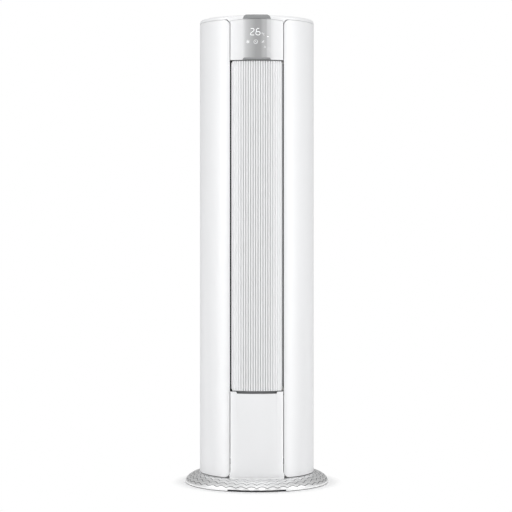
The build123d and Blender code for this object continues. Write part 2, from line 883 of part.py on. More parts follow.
# ---- Fan and ducts ----
def cross_flow_fan():
    rim = fan_radius
    inner = fan_radius - blade_depth
    lean = [(inner + blade_inset, 0), (rim - blade_inset, blade_lean)]
    blades = []
    for blade in range(blade_count):
        turn = 360 * blade / blade_count
        half = [degrees(blade_thickness / 2 / radius) for radius, angle in lean]
        front = [polar(radius, turn + angle - h) for (radius, angle), h in zip(lean, half)]
        back = [polar(radius, turn + angle + h) for (radius, angle), h in zip(lean, half)]
        blades.append(slab(front + back[::-1], fan_bottom + blade_bite, fan_top - blade_bite))
    discs = [upright(rim, (0, 0), fan_bottom, fan_bottom + end_disc)]
    discs.append(upright(rim, (0, 0), fan_top - end_disc, fan_top))
    level = (fan_bottom + fan_top) / 2
    ring = upright(rim, (0, 0), level, level + disc_thickness)
    discs.append(ring - upright(inner, (0, 0), level, level + disc_thickness))
    wheel = discs[0] + discs[1:] + blades
    wheel -= upright(motor_shaft_radius, (0, 0), fan_bottom - CUT, fan_bottom + end_disc)
    wheel -= upright(bearing_shaft_radius, (0, 0), fan_top - end_disc, fan_top + CUT)
    return Pos(fan_x, 0, 0) * wheel


def fan_shaft():
    lower = upright(motor_shaft_radius, (fan_x, 0), motor_shaft_end, fan_bottom + end_disc)
    upper = upright(bearing_shaft_radius, (fan_x, 0), fan_top - end_disc, bearing_bottom + bearing_height)
    return lower, upper


def duct_scroll():
    """Spiral wall that leads the air from the fan to the outlet frame's left wall."""

    def spiral(angle, offset):
        radius = (fan_radius + scroll_gap) * exp(scroll_growth * radians(angle - scroll_start)) + offset
        return (fan_x + radius * cos(radians(angle)), radius * sin(radians(angle)))

    halfway = (scroll_start + 180) / 2
    near = [spiral(angle, 0) for angle in (scroll_start, halfway, 180)]
    far = [spiral(angle, duct_wall) for angle in (scroll_start, halfway, 180)]
    with BuildSketch() as outline:
        with BuildLine():
            ThreePointArc(*near)
            Line(near[2], (-duct_half, frame_rear))
            Line((-duct_half, frame_rear), (-duct_half - duct_wall, frame_rear))
            Line((-duct_half - duct_wall, frame_rear), far[2])
            ThreePointArc(far[2], far[1], far[0])
            Line(far[0], near[0])
        make_face()
    back = far[0][1]
    left_end = -sqrt(duct_reach**2 - (back + duct_wall) ** 2)
    wall = Pos(0, 0, lower_top) * extrude(outline.sketch, display_bottom - lower_top)
    right_end = far[0][0] + 2 * wall_overlap
    back -= wall_overlap
    return wall + block(left_end, right_end, back, back + duct_wall, lower_top, display_bottom)


def duct_tongue():
    """Wall with the rounded nose that parts the air blown out from the air drawn in."""
    nose_x = duct_half + duct_wall - nose_radius
    reach = fan_radius + scroll_gap + nose_radius
    nose = (nose_x, -sqrt(reach**2 - (nose_x - fan_x) ** 2))
    end = polar(duct_reach - duct_wall, coil_start)
    run = Vector(end[0] - nose[0], end[1] - nose[1]).normalized()
    side = Vector(-run.Y, run.X) * (duct_wall / 2)
    strip = [
        (nose[0] + side.X, nose[1] + side.Y),
        (end[0] + side.X, end[1] + side.Y),
        (end[0] - side.X, end[1] - side.Y),
        (nose[0] - side.X, nose[1] - side.Y),
    ]
    wall = slab(strip, lower_top, display_bottom)
    wall += upright(nose_radius, nose, lower_top, display_bottom)
    return wall + block(duct_half, duct_half + duct_wall, frame_rear, nose[1], lower_top, display_bottom)


def fan_motor():
    body = upright(motor_radius, (fan_x, 0), motor_top - motor_height, motor_top)
    return body - bearing_hole(motor_shaft_radius, (fan_x, 0), motor_shaft_end - bore_gap, motor_top + CUT)


def motor_bracket():
    """Sheet cradle under the lower deck that the motor hangs in."""
    reach = motor_radius + seat_gap
    outer = reach + strap_sheet
    half = strap_width / 2
    low = motor_top - motor_height
    strap = block(fan_x - outer, fan_x + outer, -half, half, low - strap_sheet, deck_underside)
    strap -= block(fan_x - reach, fan_x + reach, -half, half, low, deck_underside)
    for side in (-1, 1):
        ends = sorted((fan_x + side * reach, fan_x + side * (outer + strap_foot)))
        strap += block(*ends, -half, half, deck_underside - strap_sheet, deck_underside)
    return strap


def fan_bearing():
    half = bearing_width / 2
    top = bearing_bottom + bearing_height
    holder = block(fan_x - half, fan_x + half, -half, half, bearing_bottom, top)
    return holder - bearing_hole(bearing_shaft_radius, (fan_x, 0), 0, total_height)


# ---- Coil, pan and pipes ----
def coil_fins():
    end = 360 - coil_start
    return sector(coil_inner, coil_outer, coil_start, end, coil_bottom + fin_inset, coil_top - fin_inset)


def coil_end_plate(side):
    """Flanged sheet that carries one end of the coil."""
    thick = degrees(coil_plate / coil_inner)
    outer = coil_outer + coil_flange
    plate = sector(coil_inner, outer, coil_start - thick, coil_start, coil_bottom, coil_top)
    return plate if side > 0 else mirror(plate, Plane.YZ)


def coil_tubes():
    """Two upright headers, each with its stub into the coil's left end."""
    thick = degrees(coil_plate / coil_inner)
    pieces = []
    for radius, place in ((gas_pipe_radius, gas_place), (liquid_pipe_radius, liquid_place)):
        centre = polar(place, -header_angle)
        header = upright(radius, centre, header_bottom, coil_top - header_drop)
        meet = polar(place * cos(radians(coil_start - thick - header_angle)), thick - coil_start)
        profile = RegularPolygon(radius * stub_share, 8)
        pieces.append(header + bar_between((*centre, stub_height), (*meet, stub_height), profile))
    return pieces


def drain_pan():
    inner = coil_inner - pan_margin - pan_wall
    outer = coil_outer + coil_flange + pan_margin + pan_wall
    ends = degrees(pan_wall / coil_inner)
    start = coil_start - pan_overhang
    pan = sector(inner, outer, start - ends, 360 - start + ends, lower_top, lower_top + pan_height)
    pan -= sector(
        inner + pan_wall, outer - pan_wall, start, 360 - start, lower_top + pan_wall, total_height
    )
    pan += upright(spigot_radius, spigot_centre, lower_top - spigot_length, lower_top + pan_wall)
    neck = upright(spigot_radius + spigot_neck, spigot_centre, deck_underside - spigot_step, lower_top)
    pan += neck
    return pan - upright(spigot_radius - spigot_wall, spigot_centre, 0, total_height)


def refrigerant_pipes():
    return [upright(radius, centre, union_top, header_bottom) for radius, centre in pipe_runs]


def flare_unions():
    """Brass unions: a hexagon on the pipe's end and the thread stub below it."""
    pieces = []
    for (radius, centre), thread in zip(pipe_runs, (gas_thread_radius, liquid_thread_radius)):
        hexagon = extrude(RegularPolygon(thread + union_step, 6, major_radius=False), union_length / 2)
        union = Pos(centre[0], centre[1], union_top - union_length / 2) * hexagon
        union += upright(thread, centre, union_top - union_length, union_top - union_length / 2)
        pieces.append(union)
    return pieces


def heater():
    """Auxiliary heater: a tall finned element between two end blocks."""
    half = heater_width / 2
    back = heater_y + heater_depth
    ends = (lower_top, display_bottom - heater_end)
    unit = block(heater_x - half, heater_x + half, heater_y, back, lower_top + heater_end, ends[1])
    half -= heater_side_inset
    front = heater_y + heater_face_inset
    back -= heater_face_inset
    for bottom in ends:
        unit += block(heater_x - half, heater_x + half, front, back, bottom, bottom + heater_end)
    return unit


# ---- Electrical parts ----
def electrical_box():
    left = -box_width / 2 - box_shift
    bottom = deck_underside - box_height
    outer = block(left, left + box_width, box_front, box_front + box_depth, bottom, deck_underside)
    return outer - block(
        left + box_wall,
        left + box_width - box_wall,
        box_front + box_wall,
        box_front + box_depth - box_wall,
        bottom + box_wall,
        deck_underside - box_wall,
    )


def control_board():
    left = -box_width / 2 - box_shift + box_wall
    back = box_front + box_depth - box_wall
    return block(
        left,
        left + box_width - 2 * box_wall,
        back - board_sheet,
        back,
        deck_underside - box_height + box_wall,
        deck_underside - box_wall,
    )


def wall_bracket():
    """Bent strap from the rear casing's pad to the wall, with two screw holes."""
    half = bracket_width / 2
    front = body_radius + pad_proud
    back = front + bracket_reach - bracket_sheet
    low, high = bracket_height - bracket_leg, bracket_height + bracket_leg
    strap = block(-half, half, front, front + bracket_sheet, low, bracket_height)
    strap += block(-half, half, front, back, bracket_height - bracket_sheet, bracket_height)
    strap += block(-half, half, back - bracket_sheet, back, bracket_height - bracket_sheet, high)
    for x in (-wall_hole_spacing / 2, wall_hole_spacing / 2):
        start = (x, back - 2 * bracket_sheet, wall_hole_height)
        end = (x, back + bracket_sheet, wall_hole_height)
        strap -= bar_between(start, end, Circle(wall_hole_radius))
    return strap


# ---- Places shared by several pieces ----
post_outer = sqrt((seat_radius - max(flange_wall, panel_wall) - seat_gap) ** 2 - (post_size / 2) ** 2)
drive_centre = polar(drive_radius, drive_angle)
cup_back = deck_front + cup_gap
cup_span = degrees(asin(recess_top_width / 2 / panel_inner) + cup_wall / panel_inner)
box_front = box_setback - cup_back * cos(radians(cup_span))
drive_shaft_end = deck_underside - stepper_height + stepper_floor
vane_shaft_end = display_bottom - vane_shaft_drop
window_bottom = lower_top + window_margin
window_top = display_bottom - window_margin
board_bottom = display_bottom + board_rise
vane_top = frame_top - frame_plate - 2 * crank_sheet - guide_margin
vane_places = (-vane_spacing, 0, vane_spacing)
motor_top = deck_underside - motor_drop
motor_shaft_end = motor_top - motor_height * shaft_reach
bearing_bottom = display_bottom + deck_sheet
duct_reach = coil_inner - pan_margin - pan_wall - pan_gap
coil_bottom = lower_top + pan_wall
coil_top = display_bottom
header_bottom = lower_top + header_rise
stub_height = coil_top - stub_drop
gas_place = coil_outer
liquid_place = coil_inner + liquid_inset
pan_end = coil_start - pan_overhang - degrees(pan_wall / coil_inner)
header_angle = pan_end - degrees((gas_pipe_radius + header_clearance) / gas_place)
pipe_runs = (
    (gas_pipe_radius, polar(gas_place, -header_angle)),
    (liquid_pipe_radius, polar(liquid_place, -header_angle)),
)
union_top = deck_underside - pipe_length + union_length
spigot_centre = polar((coil_inner + coil_outer) / 2, spigot_angle)
wall_hole_height = bracket_height + bracket_leg / 2

# ---- Nodes ----
os.makedirs("parts", exist_ok=True)
save("base_flange", base_flange())
save("base_plate", base_plate())
save("chassis_posts", chassis_post(1), chassis_post(-1))
save("lower_deck", lower_deck())
save("upper_deck", upper_deck())
save("right_side_panel", right_side_panel())
save("left_side_panel", mirror(right_side_panel(), Plane.YZ))
save("rear_casing", rear_casing())
save("inlet_grille", inlet_grille())
save("air_filter", air_filter())
save("top_cover", top_cover())
save("top_trim", top_trim())
save("display_panel", display_panel())
save("display_window", window_space())
save("display_board", display_board())
save("chin_trim", chin_trim())
save("lower_front_panel", lower_front_panel())
save("pull_cup", pull_cup())
save("outlet_door", outlet_door())
save("door_carriers", door_rack(), door_shoe())
save("door_pinion", door_pinion())
save(
    "door_motor",
    stepper(
        drive_centre,
        deck_underside - stepper_height,
        deck_underside,
        drive_shaft_radius,
        drive_shaft_end,
    ),
)
save("outlet_frame", outlet_frame())
for name, x in zip(("vane_left", "vane_middle", "vane_right"), vane_places):
    save(name, vane(x))
save("vane_link", vane_link())
save("vane_motor", stepper((0, vane_y), frame_top, display_bottom, vane_pin_radius, vane_shaft_end))
save("guide_grille", guide_grille())
save("cross_flow_fan", cross_flow_fan())
save("fan_shaft", *fan_shaft())
save("duct_scroll", duct_scroll())
save("duct_tongue", duct_tongue())
save("fan_motor", fan_motor())
save("motor_bracket", motor_bracket())
save("fan_bearing", fan_bearing())
save("coil_fins", coil_fins())
save("coil_end_plates", coil_end_plate(1), coil_end_plate(-1))
save("coil_tubes", *coil_tubes())
save("drain_pan", drain_pan())
save("refrigerant_pipes", *refrigerant_pipes())
save("flare_unions", *flare_unions())
save("heater", heater())
save("electrical_box", electrical_box())
save("control_board", control_board())
save("wall_bracket", wall_bracket())
print("rack teeth", rack_teeth, "pinion teeth", pinion_teeth, "door half angle", round(door_half_angle, 3))
print("drive centre", drive_centre)
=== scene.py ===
"""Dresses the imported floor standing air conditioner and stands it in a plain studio.

Lengths are in metres, +Z is up and the front faces -Y. Bearings are in degrees round the cabinet,
from the front towards +X.
"""

from __future__ import annotations

import json
import logging
from collections.abc import Callable, Iterator, Mapping, Sequence
from contextlib import contextmanager
from dataclasses import dataclass
from enum import Enum
from itertools import pairwise
from math import asin, atan2, cos, degrees, hypot, pi, radians, sin, sqrt

import bmesh
import bpy
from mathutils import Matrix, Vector

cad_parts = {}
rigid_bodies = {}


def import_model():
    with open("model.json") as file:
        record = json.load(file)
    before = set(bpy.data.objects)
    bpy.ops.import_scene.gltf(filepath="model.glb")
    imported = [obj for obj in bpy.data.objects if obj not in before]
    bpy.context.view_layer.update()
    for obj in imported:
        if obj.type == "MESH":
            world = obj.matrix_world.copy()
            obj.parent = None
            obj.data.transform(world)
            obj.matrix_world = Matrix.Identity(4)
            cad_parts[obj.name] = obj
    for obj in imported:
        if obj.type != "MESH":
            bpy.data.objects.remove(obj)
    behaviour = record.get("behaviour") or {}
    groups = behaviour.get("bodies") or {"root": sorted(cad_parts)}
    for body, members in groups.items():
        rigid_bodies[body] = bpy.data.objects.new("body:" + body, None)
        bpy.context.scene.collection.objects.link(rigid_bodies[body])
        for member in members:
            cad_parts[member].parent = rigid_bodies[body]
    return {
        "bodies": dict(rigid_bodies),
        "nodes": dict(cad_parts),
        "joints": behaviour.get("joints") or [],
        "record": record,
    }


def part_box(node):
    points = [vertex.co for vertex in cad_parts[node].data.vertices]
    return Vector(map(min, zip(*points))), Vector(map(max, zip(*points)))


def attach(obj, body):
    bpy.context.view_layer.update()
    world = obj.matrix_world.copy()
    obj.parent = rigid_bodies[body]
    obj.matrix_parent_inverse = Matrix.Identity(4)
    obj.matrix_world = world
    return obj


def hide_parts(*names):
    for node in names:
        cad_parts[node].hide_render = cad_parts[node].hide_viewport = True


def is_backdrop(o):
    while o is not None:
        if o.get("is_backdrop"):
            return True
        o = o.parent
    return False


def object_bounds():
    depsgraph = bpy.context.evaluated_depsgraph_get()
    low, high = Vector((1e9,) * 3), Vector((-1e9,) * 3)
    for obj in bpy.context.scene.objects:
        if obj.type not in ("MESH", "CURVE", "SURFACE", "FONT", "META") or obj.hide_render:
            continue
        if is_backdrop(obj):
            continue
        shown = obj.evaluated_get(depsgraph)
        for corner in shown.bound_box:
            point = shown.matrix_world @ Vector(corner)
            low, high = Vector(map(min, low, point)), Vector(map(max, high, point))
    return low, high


LOG = logging.getLogger("air_conditioner")
MM = 0.001
MERGE = 0.01 * MM  # vertices nearer to each other than this are one
NEAR_BEARING = 0.01  # degrees within which a vertex stands at a bearing
ROUND_CORNER = [radians(angle) for angle in range(0, 91, 10)]  # where a rounded corner has its vertices
Colour = tuple[float, float, float]
Triple = tuple[float, float, float]
Point = tuple[float, float]
Line = Sequence[Point]
Test = Callable[[Vector], bool]  # whether a place is picked


class Side(Enum):
    """Side of the cabinet as seen from the front."""

    RIGHT = 1
    LEFT = -1


# ---------------------------------------------------------------- shader tools


class Wire:
    """Output of a shader node that can stand in an expression."""

    def __init__(self, shader: Shader, socket: bpy.types.NodeSocket | None) -> None:
        """Wraps a socket of a shader's node tree, or none after a node without outputs."""
        self.shader = shader
        self.socket = socket

    def maths(self, operation: str, other: Wire | float | None = None, swapped: bool = False) -> Wire:
        """Adds a Math node.

        Args:
            operation: Name of the node's operation.
            other: Second operand, left out where the operation takes one.
            swapped: Puts the second operand first.

        Returns:
            The node's result.
        """
        operands = [self] if other is None else [self, other]
        if swapped:
            operands.reverse()
        return self.shader.add("ShaderNodeMath", {"operation": operation}, dict(enumerate(operands)))

    def __add__(self, other: Wire | float) -> Wire:
        """Sum."""
        return self.maths("ADD", other)

    __radd__ = __add__

    def __sub__(self, other: Wire | float) -> Wire:
        """Difference."""
        return self.maths("SUBTRACT", other)

    def __rsub__(self, other: float) -> Wire:
        """Difference from a number."""
        return self.maths("SUBTRACT", other, swapped=True)

    def __mul__(self, other: Wire | float) -> Wire:
        """Product."""
        return self.maths("MULTIPLY", other)

    __rmul__ = __mul__

    def __truediv__(self, other: Wire | float) -> Wire:
        """Quotient."""
        return self.maths("DIVIDE", other)

    def __rtruediv__(self, other: float) -> Wire:
        """Quotient of a number and this."""
        return self.maths("DIVIDE", other, swapped=True)

    def __abs__(self) -> Wire:
        """Size without its sign."""
        return self.maths("ABSOLUTE")

    def wave(self, turns: float) -> Wire:
        """Sine wave that swings between 0 and 1, with so many turns in a metre."""
        return (self * (2 * pi * turns)).maths("SINE") * 0.5 + 0.5

    def over(self, level: float) -> Wire:
        """1 where the value is over a level and 0 elsewhere."""
        return self.maths("GREATER_THAN", level)

    def around(self, middle: float, swing: float) -> Wire:
        """Spreads a value between 0 and 1 about a middle, by a share of it either way."""
        return self * (2 * swing * middle) + (1 - swing) * middle


Value = Wire | float | tuple


class Shader:
    """Node tree of one material."""

    def __init__(self, name: str) -> None:
        """Makes a material with an empty tree.

        Args:
            name: Name of the material.
        """
        self.material = bpy.data.materials.new(name)
        self.material.use_nodes = True
        self.tree = self.material.node_tree
        self.tree.nodes.clear()

    def add(
        self,
        kind: str,
        settings: Mapping[str, object],
        inputs: Mapping[str | int, Value],
        output: str | int = 0,
    ) -> Wire:
        """Adds a node.

        Args:
            kind: Node type.
            settings: The node's own settings, among them a ramp's stops, which are set first.
            inputs: Values or links of its sockets, by name or number.
            output: Socket to hand back.

        Returns:
            The named output.
        """
        node = self.tree.nodes.new(kind)
        for name, value in settings.items():
            if name == "stops":
                self._set_stops(node.color_ramp, value)
            else:
                setattr(node, name, value)
        for name, value in inputs.items():
            if isinstance(value, Wire):
                self.tree.links.new(value.socket, node.inputs[name])
            else:
                node.inputs[name].default_value = value
        if not node.outputs:
            return Wire(self, None)
        return Wire(self, node.outputs[output])

    @staticmethod
    def _set_stops(ramp: bpy.types.ColorRamp, stops: Sequence[tuple[float, Colour]]) -> None:
        """Gives a colour ramp its stops.

        Args:
            ramp: The ramp.
            stops: Place and colour of each stop.
        """
        while len(ramp.elements) < len(stops):
            ramp.elements.new(1.0)
        for element, (place, colour) in zip(ramp.elements, stops):
            element.position = place
            element.color = (*colour, 1.0)

    def place(self) -> Wire:
        """Place on the piece, in metres."""
        return self.add("ShaderNodeTexCoord", {}, {}, "Object")

    def axis(self, name: str) -> Wire:
        """One coordinate of the place on the piece."""
        return self.add("ShaderNodeSeparateXYZ", {}, {0: self.place()}, name)

    def stretched(self, scale: Triple) -> Wire:
        """Place on the piece, scaled along each axis."""
        return self.add("ShaderNodeMapping", {}, {"Vector": self.place(), "Scale": scale})

    def noise(self, scale: float, detail: float = 2.0, place: Wire | None = None) -> Wire:
        """Noise between 0 and 1, with a grain of about 1/scale metres."""
        inputs = {"Vector": place or self.place(), "Scale": scale, "Detail": detail}
        return self.add("ShaderNodeTexNoise", {}, inputs, "Fac")

    def vector(self, operation: str, output: str, *operands: Value) -> Wire:
        """Result of a Vector Math node."""
        return self.add("ShaderNodeVectorMath", {"operation": operation}, dict(enumerate(operands)), output)

    def mix(self, share: Wire | float, first: Value, second: Value) -> Wire:
        """Colour between two colours."""
        settings = {"data_type": "RGBA", "clamp_factor": True}
        return self.add("ShaderNodeMix", settings, {0: share, 6: first, 7: second}, 2)

    def span(self, value: Wire, low: float, high: float) -> Wire:
        """0 below one level of a value, 1 above another and smooth in between."""
        settings = {"interpolation_type": "SMOOTHSTEP"}
        return self.add("ShaderNodeMapRange", settings, {"Value": value, "From Min": low, "From Max": high})

    def bump(self, height: Wire, depth: float) -> Wire:
        """Normal of a surface whose relief is so many metres deep."""
        return self.add("ShaderNodeBump", {}, {"Height": height, "Distance": depth, "Strength": 1.0})

    def finish(self, inputs: Mapping[str, Value]) -> bpy.types.Material:
        """Closes the tree with a Principled shader.

        Args:
            inputs: Values or links of the shader's sockets.

        Returns:
            The material.
        """
        surface = self.add("ShaderNodeBsdfPrincipled", {}, inputs, "BSDF")
        self.add("ShaderNodeOutputMaterial", {}, {"Surface": surface})
        return self.material


def solid(colour: Colour) -> tuple[float, float, float, float]:
    """Colour as a socket takes it."""
    return (*colour, 1.0)


def shaded(colour: Colour, share: float) -> Colour:
    """Colour made lighter or darker by a share."""
    return tuple(min(channel * share, 1.0) for channel in colour)


# ---------------------------------------------------------------- finishes


@dataclass(frozen=True)
class Finish:
    """Plain moulded or painted surface.

    Fields:
        name: Name of the material.
        colour: Mean colour.
        roughness: Mean roughness.
        metallic: 1 on bare metal.
        specular: Strength of the gloss on what isn't metal.
        index: Refractive index, higher on a glossy lacquer.
        mottle: Share by which the colour wanders.
        patch: Size of the patches in which colour and gloss wander.
        wander: Share by which the roughness wanders either way.
        grain: Size of the surface's fine texture.
        relief: Depth of that texture.
    """

    name: str
    colour: Colour
    roughness: float
    metallic: float = 0.0
    specular: float = 0.5
    index: float = 1.5
    mottle: float = 0.02
    patch: float = 120 * MM
    wander: float = 0.15
    grain: float = 1.2 * MM
    relief: float = 0.01 * MM

    def tint(self, shader: Shader) -> Wire:
        """Colour over the surface.

        Args:
            shader: Shader whose tree it goes into.

        Returns:
            The colour.
        """
        spread = shader.noise(1 / self.patch)
        dark, light = shaded(self.colour, 1 - self.mottle), shaded(self.colour, 1 + self.mottle)
        return shader.mix(spread, solid(dark), solid(light))

    def gloss(self, shader: Shader) -> Wire:
        """Roughness over the surface, with finer patches than the colour's."""
        return shader.noise(3 / self.patch, detail=3.0).around(self.roughness, self.wander)

    def texture(self, shader: Shader) -> Wire:
        """Normal over the surface."""
        return shader.bump(shader.noise(1 / self.grain, detail=1.0), self.relief)

    def build(self) -> bpy.types.Material:
        """Makes the material.

        Returns:
            The material.
        """
        shader = Shader(self.name)
        return shader.finish(
            {
                "Base Color": self.tint(shader),
                "Roughness": self.gloss(shader),
                "Metallic": self.metallic,
                "Specular IOR Level": self.specular,
                "IOR": self.index,
                "Normal": self.texture(shader),
            }
        )


@dataclass(frozen=True)
class DisplayFinish(Finish):
    """White plastic that fades through silver across the display, with one sharp edge on its right; the fade
    is partly the window's own silver and partly painted reflection and light, which make it lopsided.

    Fields:
        stops: Place across the display in millimetres and share of the white that is left there.
    """

    stops: tuple[Point, ...] = (
        (-76, 1.0), (-60, 0.96), (-52, 0.92), (-46, 0.78), (-40, 0.65), (-29, 0.56), (-15, 0.47),
        (-4, 0.4), (14, 0.4), (20, 0.48), (26, 0.53), (35.5, 0.54),
        (37.5, 0.67), (43, 0.73), (50, 0.79), (58, 0.9), (65, 0.985), (76, 1.0),
    )

    def tint(self, shader: Shader) -> Wire:
        """Colour that depends on the place across the display.

        Args:
            shader: Shader whose tree it goes into.

        Returns:
            The colour.
        """
        start, end = self.stops[0][0], self.stops[-1][0]
        across = (shader.axis("X") - start * MM) / ((end - start) * MM)
        stops = [((place - start) / (end - start), shaded(self.colour, share)) for place, share in self.stops]
        return shader.add("ShaderNodeValToRGB", {"stops": stops}, {0: across})


@dataclass(frozen=True)
class FlutedPaintedShadeFinish(Finish):
    """White plastic with painted shade in the grooves between its flutes, fading out towards the door's sides
    where the side lamps fill the grooves.

    Fields:
        groove: Radius of the grooves' bottom.
        crest: Radius at which the groove's painted shade ends.
        shade: Share of the white that is left in a groove under the painted shade.
        fade: Distances from the centre line between which the painted shade fades, as the side lamps fill the
            grooves.
    """

    groove: float = 207.5 * MM
    crest: float = 210.0 * MM
    shade: float = 0.6
    fade: Point = (42 * MM, 76 * MM)

    def tint(self, shader: Shader) -> Wire:
        """Colour with painted shade that depends on the depth in the grooves.

        Args:
            shader: Shader whose tree it goes into.

        Returns:
            The colour.
        """
        flat = shader.vector("MULTIPLY", "Vector", shader.place(), (1.0, 1.0, 0.0))
        radius = shader.vector("LENGTH", "Value", flat)
        # painted shade: darker deeper in the grooves, less towards the door's sides
        rise = shader.span(radius, self.groove, self.crest)
        edge = shader.span(abs(shader.axis("X")), *self.fade)
        light = rise.maths("MAXIMUM", edge)
        return shader.mix(light, solid(shaded(self.colour, self.shade)), solid(self.colour))


@dataclass(frozen=True)
class FootFinish(Finish):
    """Silver lacquer of the foot, with painted shade on its collar, where the shells shade it.

    Fields:
        collar: Height over which the collar starts.
        shade: Share of the colour that is left on it under the painted shade.
    """

    collar: float = 40.1 * MM
    shade: float = 0.1

    def tint(self, shader: Shader) -> Wire:
        """Silver, with painted shade on the collar."""
        # painted shade: the collar above this height is darkened as if shaded by the shells
        above = shader.axis("Z").over(self.collar)
        return shader.mix(above, super().tint(shader), solid(shaded(self.colour, self.shade)))


@dataclass(frozen=True)
class BrushedFinish(Finish):
    """Metal drawn or turned along one axis.

    Fields:
        wander: Share by which the roughness wanders either way, here along the lines.
        streak: Scale of the streaks along each axis.
    """

    wander: float = 0.25
    streak: Triple = (400.0, 400.0, 12.0)

    def streaks(self, shader: Shader) -> Wire:
        """Noise drawn out along the lines."""
        return shader.noise(1.0, place=shader.stretched(self.streak))

    def texture(self, shader: Shader) -> Wire:
        """Fine lines along the drawing."""
        return shader.bump(self.streaks(shader), self.relief)

    def gloss(self, shader: Shader) -> Wire:
        """Roughness that follows the lines."""
        return self.streaks(shader).around(self.roughness, self.wander)


@dataclass(frozen=True)
class SpangledFinish(Finish):
    """Galvanised sheet with its zinc crystals.

    Fields:
        crystal: Size of a crystal.
        shades: Darkest and lightest share of the colour on a crystal.
    """

    crystal: float = 9 * MM
    shades: Point = (0.9, 1.08)

    def tint(self, shader: Shader) -> Wire:
        """Each crystal a shade of its own.

        Args:
            shader: Shader whose tree it goes into.

        Returns:
            The colour.
        """
        cells = shader.add(
            "ShaderNodeTexVoronoi", {}, {"Vector": shader.place(), "Scale": 1 / self.crystal}, "Color"
        )
        shade = shader.add("ShaderNodeSeparateColor", {}, {0: cells}, 0)
        dark, light = (solid(shaded(self.colour, share)) for share in self.shades)
        return shader.mix(shade, dark, light)


@dataclass(frozen=True)
class LinedFinish(Finish):
    """Stack of thin sheets or a weave, seen as fine lines.

    Fields:
        pitch: Distance between the lines.
        axes: Axes across which the lines lie.
        depth: Share of the colour that is left between the lines, as painted shade in the gaps.
    """

    pitch: float = 1.8 * MM
    axes: tuple[str, ...] = ("Z",)
    depth: float = 0.35

    def lines(self, shader: Shader) -> Wire:
        """1 on a line and 0 between the lines.

        Args:
            shader: Shader whose tree it goes into.

        Returns:
            The value.
        """
        waves = [shader.axis(name).wave(1 / self.pitch) for name in self.axes]
        total = waves[0]
        for wave in waves[1:]:
            total = total.maths("MAXIMUM", wave)
        return total

    def tint(self, shader: Shader) -> Wire:
        """Painted shade between the lines, in the gaps between the sheets or threads."""
        return shader.mix(self.lines(shader), solid(shaded(self.colour, self.depth)), solid(self.colour))

    def texture(self, shader: Shader) -> Wire:
        """Ridge at each line."""
        return shader.bump(self.lines(shader), self.relief)


@dataclass(frozen=True)
class LitFinish(Finish):
    """Sign that shines through the display.

    Fields:
        glow: Strength of its light.
        flicker: Share by which the light wanders either way.
    """

    glow: float = 0.35
    flicker: float = 0.1

    def build(self) -> bpy.types.Material:
        """Makes the material.

        Returns:
            The material.
        """
        shader = Shader(self.name)
        lamp = shader.noise(1 / self.patch).around(self.glow, self.flicker)
        colour = self.tint(shader)
        light = shader.mix(lamp, solid((0.0, 0.0, 0.0)), colour)
        return shader.finish(
            {
                "Base Color": colour,
                "Roughness": self.gloss(shader),
                "Specular IOR Level": self.specular,
                "Emission Color": light,
                "Emission Strength": 1.0,
            }
        )


WHITE = (0.87, 0.875, 0.885)
WOVEN = ("X", "Z")  # axes across which a weave's lines lie
TURNED = (20.0, 20.0, 900.0)  # streaks that lie round an upright axis
FINISHES: dict[str, Finish] = {
    finish.name: finish
    for finish in (
        Finish("cabinet_white", WHITE, 0.42, specular=1.0, index=1.9, mottle=0.006),
        # door white with painted shade in its grooves
        FlutedPaintedShadeFinish("door_white", WHITE, 0.4, specular=1.0, index=1.7, mottle=0.006),
        # silver fade across the display, partly painted reflection and light
        DisplayFinish("display_white", WHITE, 0.42, specular=1.0, index=1.9),
        DisplayFinish("silver_window", WHITE, 0.26),
        # silver foot with painted shade on its collar
        FootFinish("silver_foot", (0.93, 0.932, 0.935), 0.44, metallic=0.95, relief=0.02 * MM),
        # darker silver: painted shade in the foot's grooves
        Finish("silver_groove", (0.36, 0.365, 0.37), 0.45, metallic=0.95, relief=0.02 * MM),
        # pale, nearly matt silver: painted reflection of the floor on the foot's rim and front collar
        Finish("silver_rim", (0.92, 0.922, 0.925), 0.35, metallic=0.1, mottle=0.01),
        Finish("dark_steel", (0.05, 0.052, 0.055), 0.5, relief=0.03 * MM),
        SpangledFinish("galvanised_steel", (0.5, 0.515, 0.52), 0.4, metallic=0.9),
        Finish("grey_trim", (0.275, 0.28, 0.285), 0.4, mottle=0.04, relief=0.02 * MM),
        Finish("dark_plastic", (0.03, 0.03, 0.033), 0.55, relief=0.03 * MM),
        Finish("inner_plastic", (0.6, 0.6, 0.57), 0.5, relief=0.02 * MM),
        Finish("foam_grey", (0.16, 0.165, 0.17), 0.85, grain=3 * MM, relief=0.2 * MM),
        LinedFinish(
            "filter_mesh", (0.09, 0.1, 0.115), 0.7, relief=0.1 * MM, pitch=1.6 * MM, axes=WOVEN, depth=0.25
        ),
        LinedFinish("coil_aluminium", (0.62, 0.63, 0.64), 0.35, metallic=0.9, relief=0.3 * MM),
        BrushedFinish("copper", (0.72, 0.36, 0.22), 0.32, metallic=1.0),
        BrushedFinish("brass", (0.74, 0.56, 0.27), 0.28, metallic=1.0, streak=TURNED),
        BrushedFinish("bright_steel", (0.66, 0.67, 0.68), 0.25, metallic=1.0, streak=TURNED),
        Finish("motor_black", (0.035, 0.035, 0.04), 0.42, relief=0.03 * MM),
        LinedFinish(
            "board_green", (0.03, 0.16, 0.07), 0.45, relief=0.03 * MM, pitch=5 * MM, axes=WOVEN, depth=0.8
        ),
        Finish("gear_ivory", (0.6, 0.59, 0.56), 0.42),
        LitFinish("lit_sign", (0.93, 0.94, 0.95), 0.4, patch=10 * MM, glow=0.3),
        LitFinish("dim_sign", (0.86, 0.87, 0.88), 0.4, patch=10 * MM, glow=0.16),
    )
}


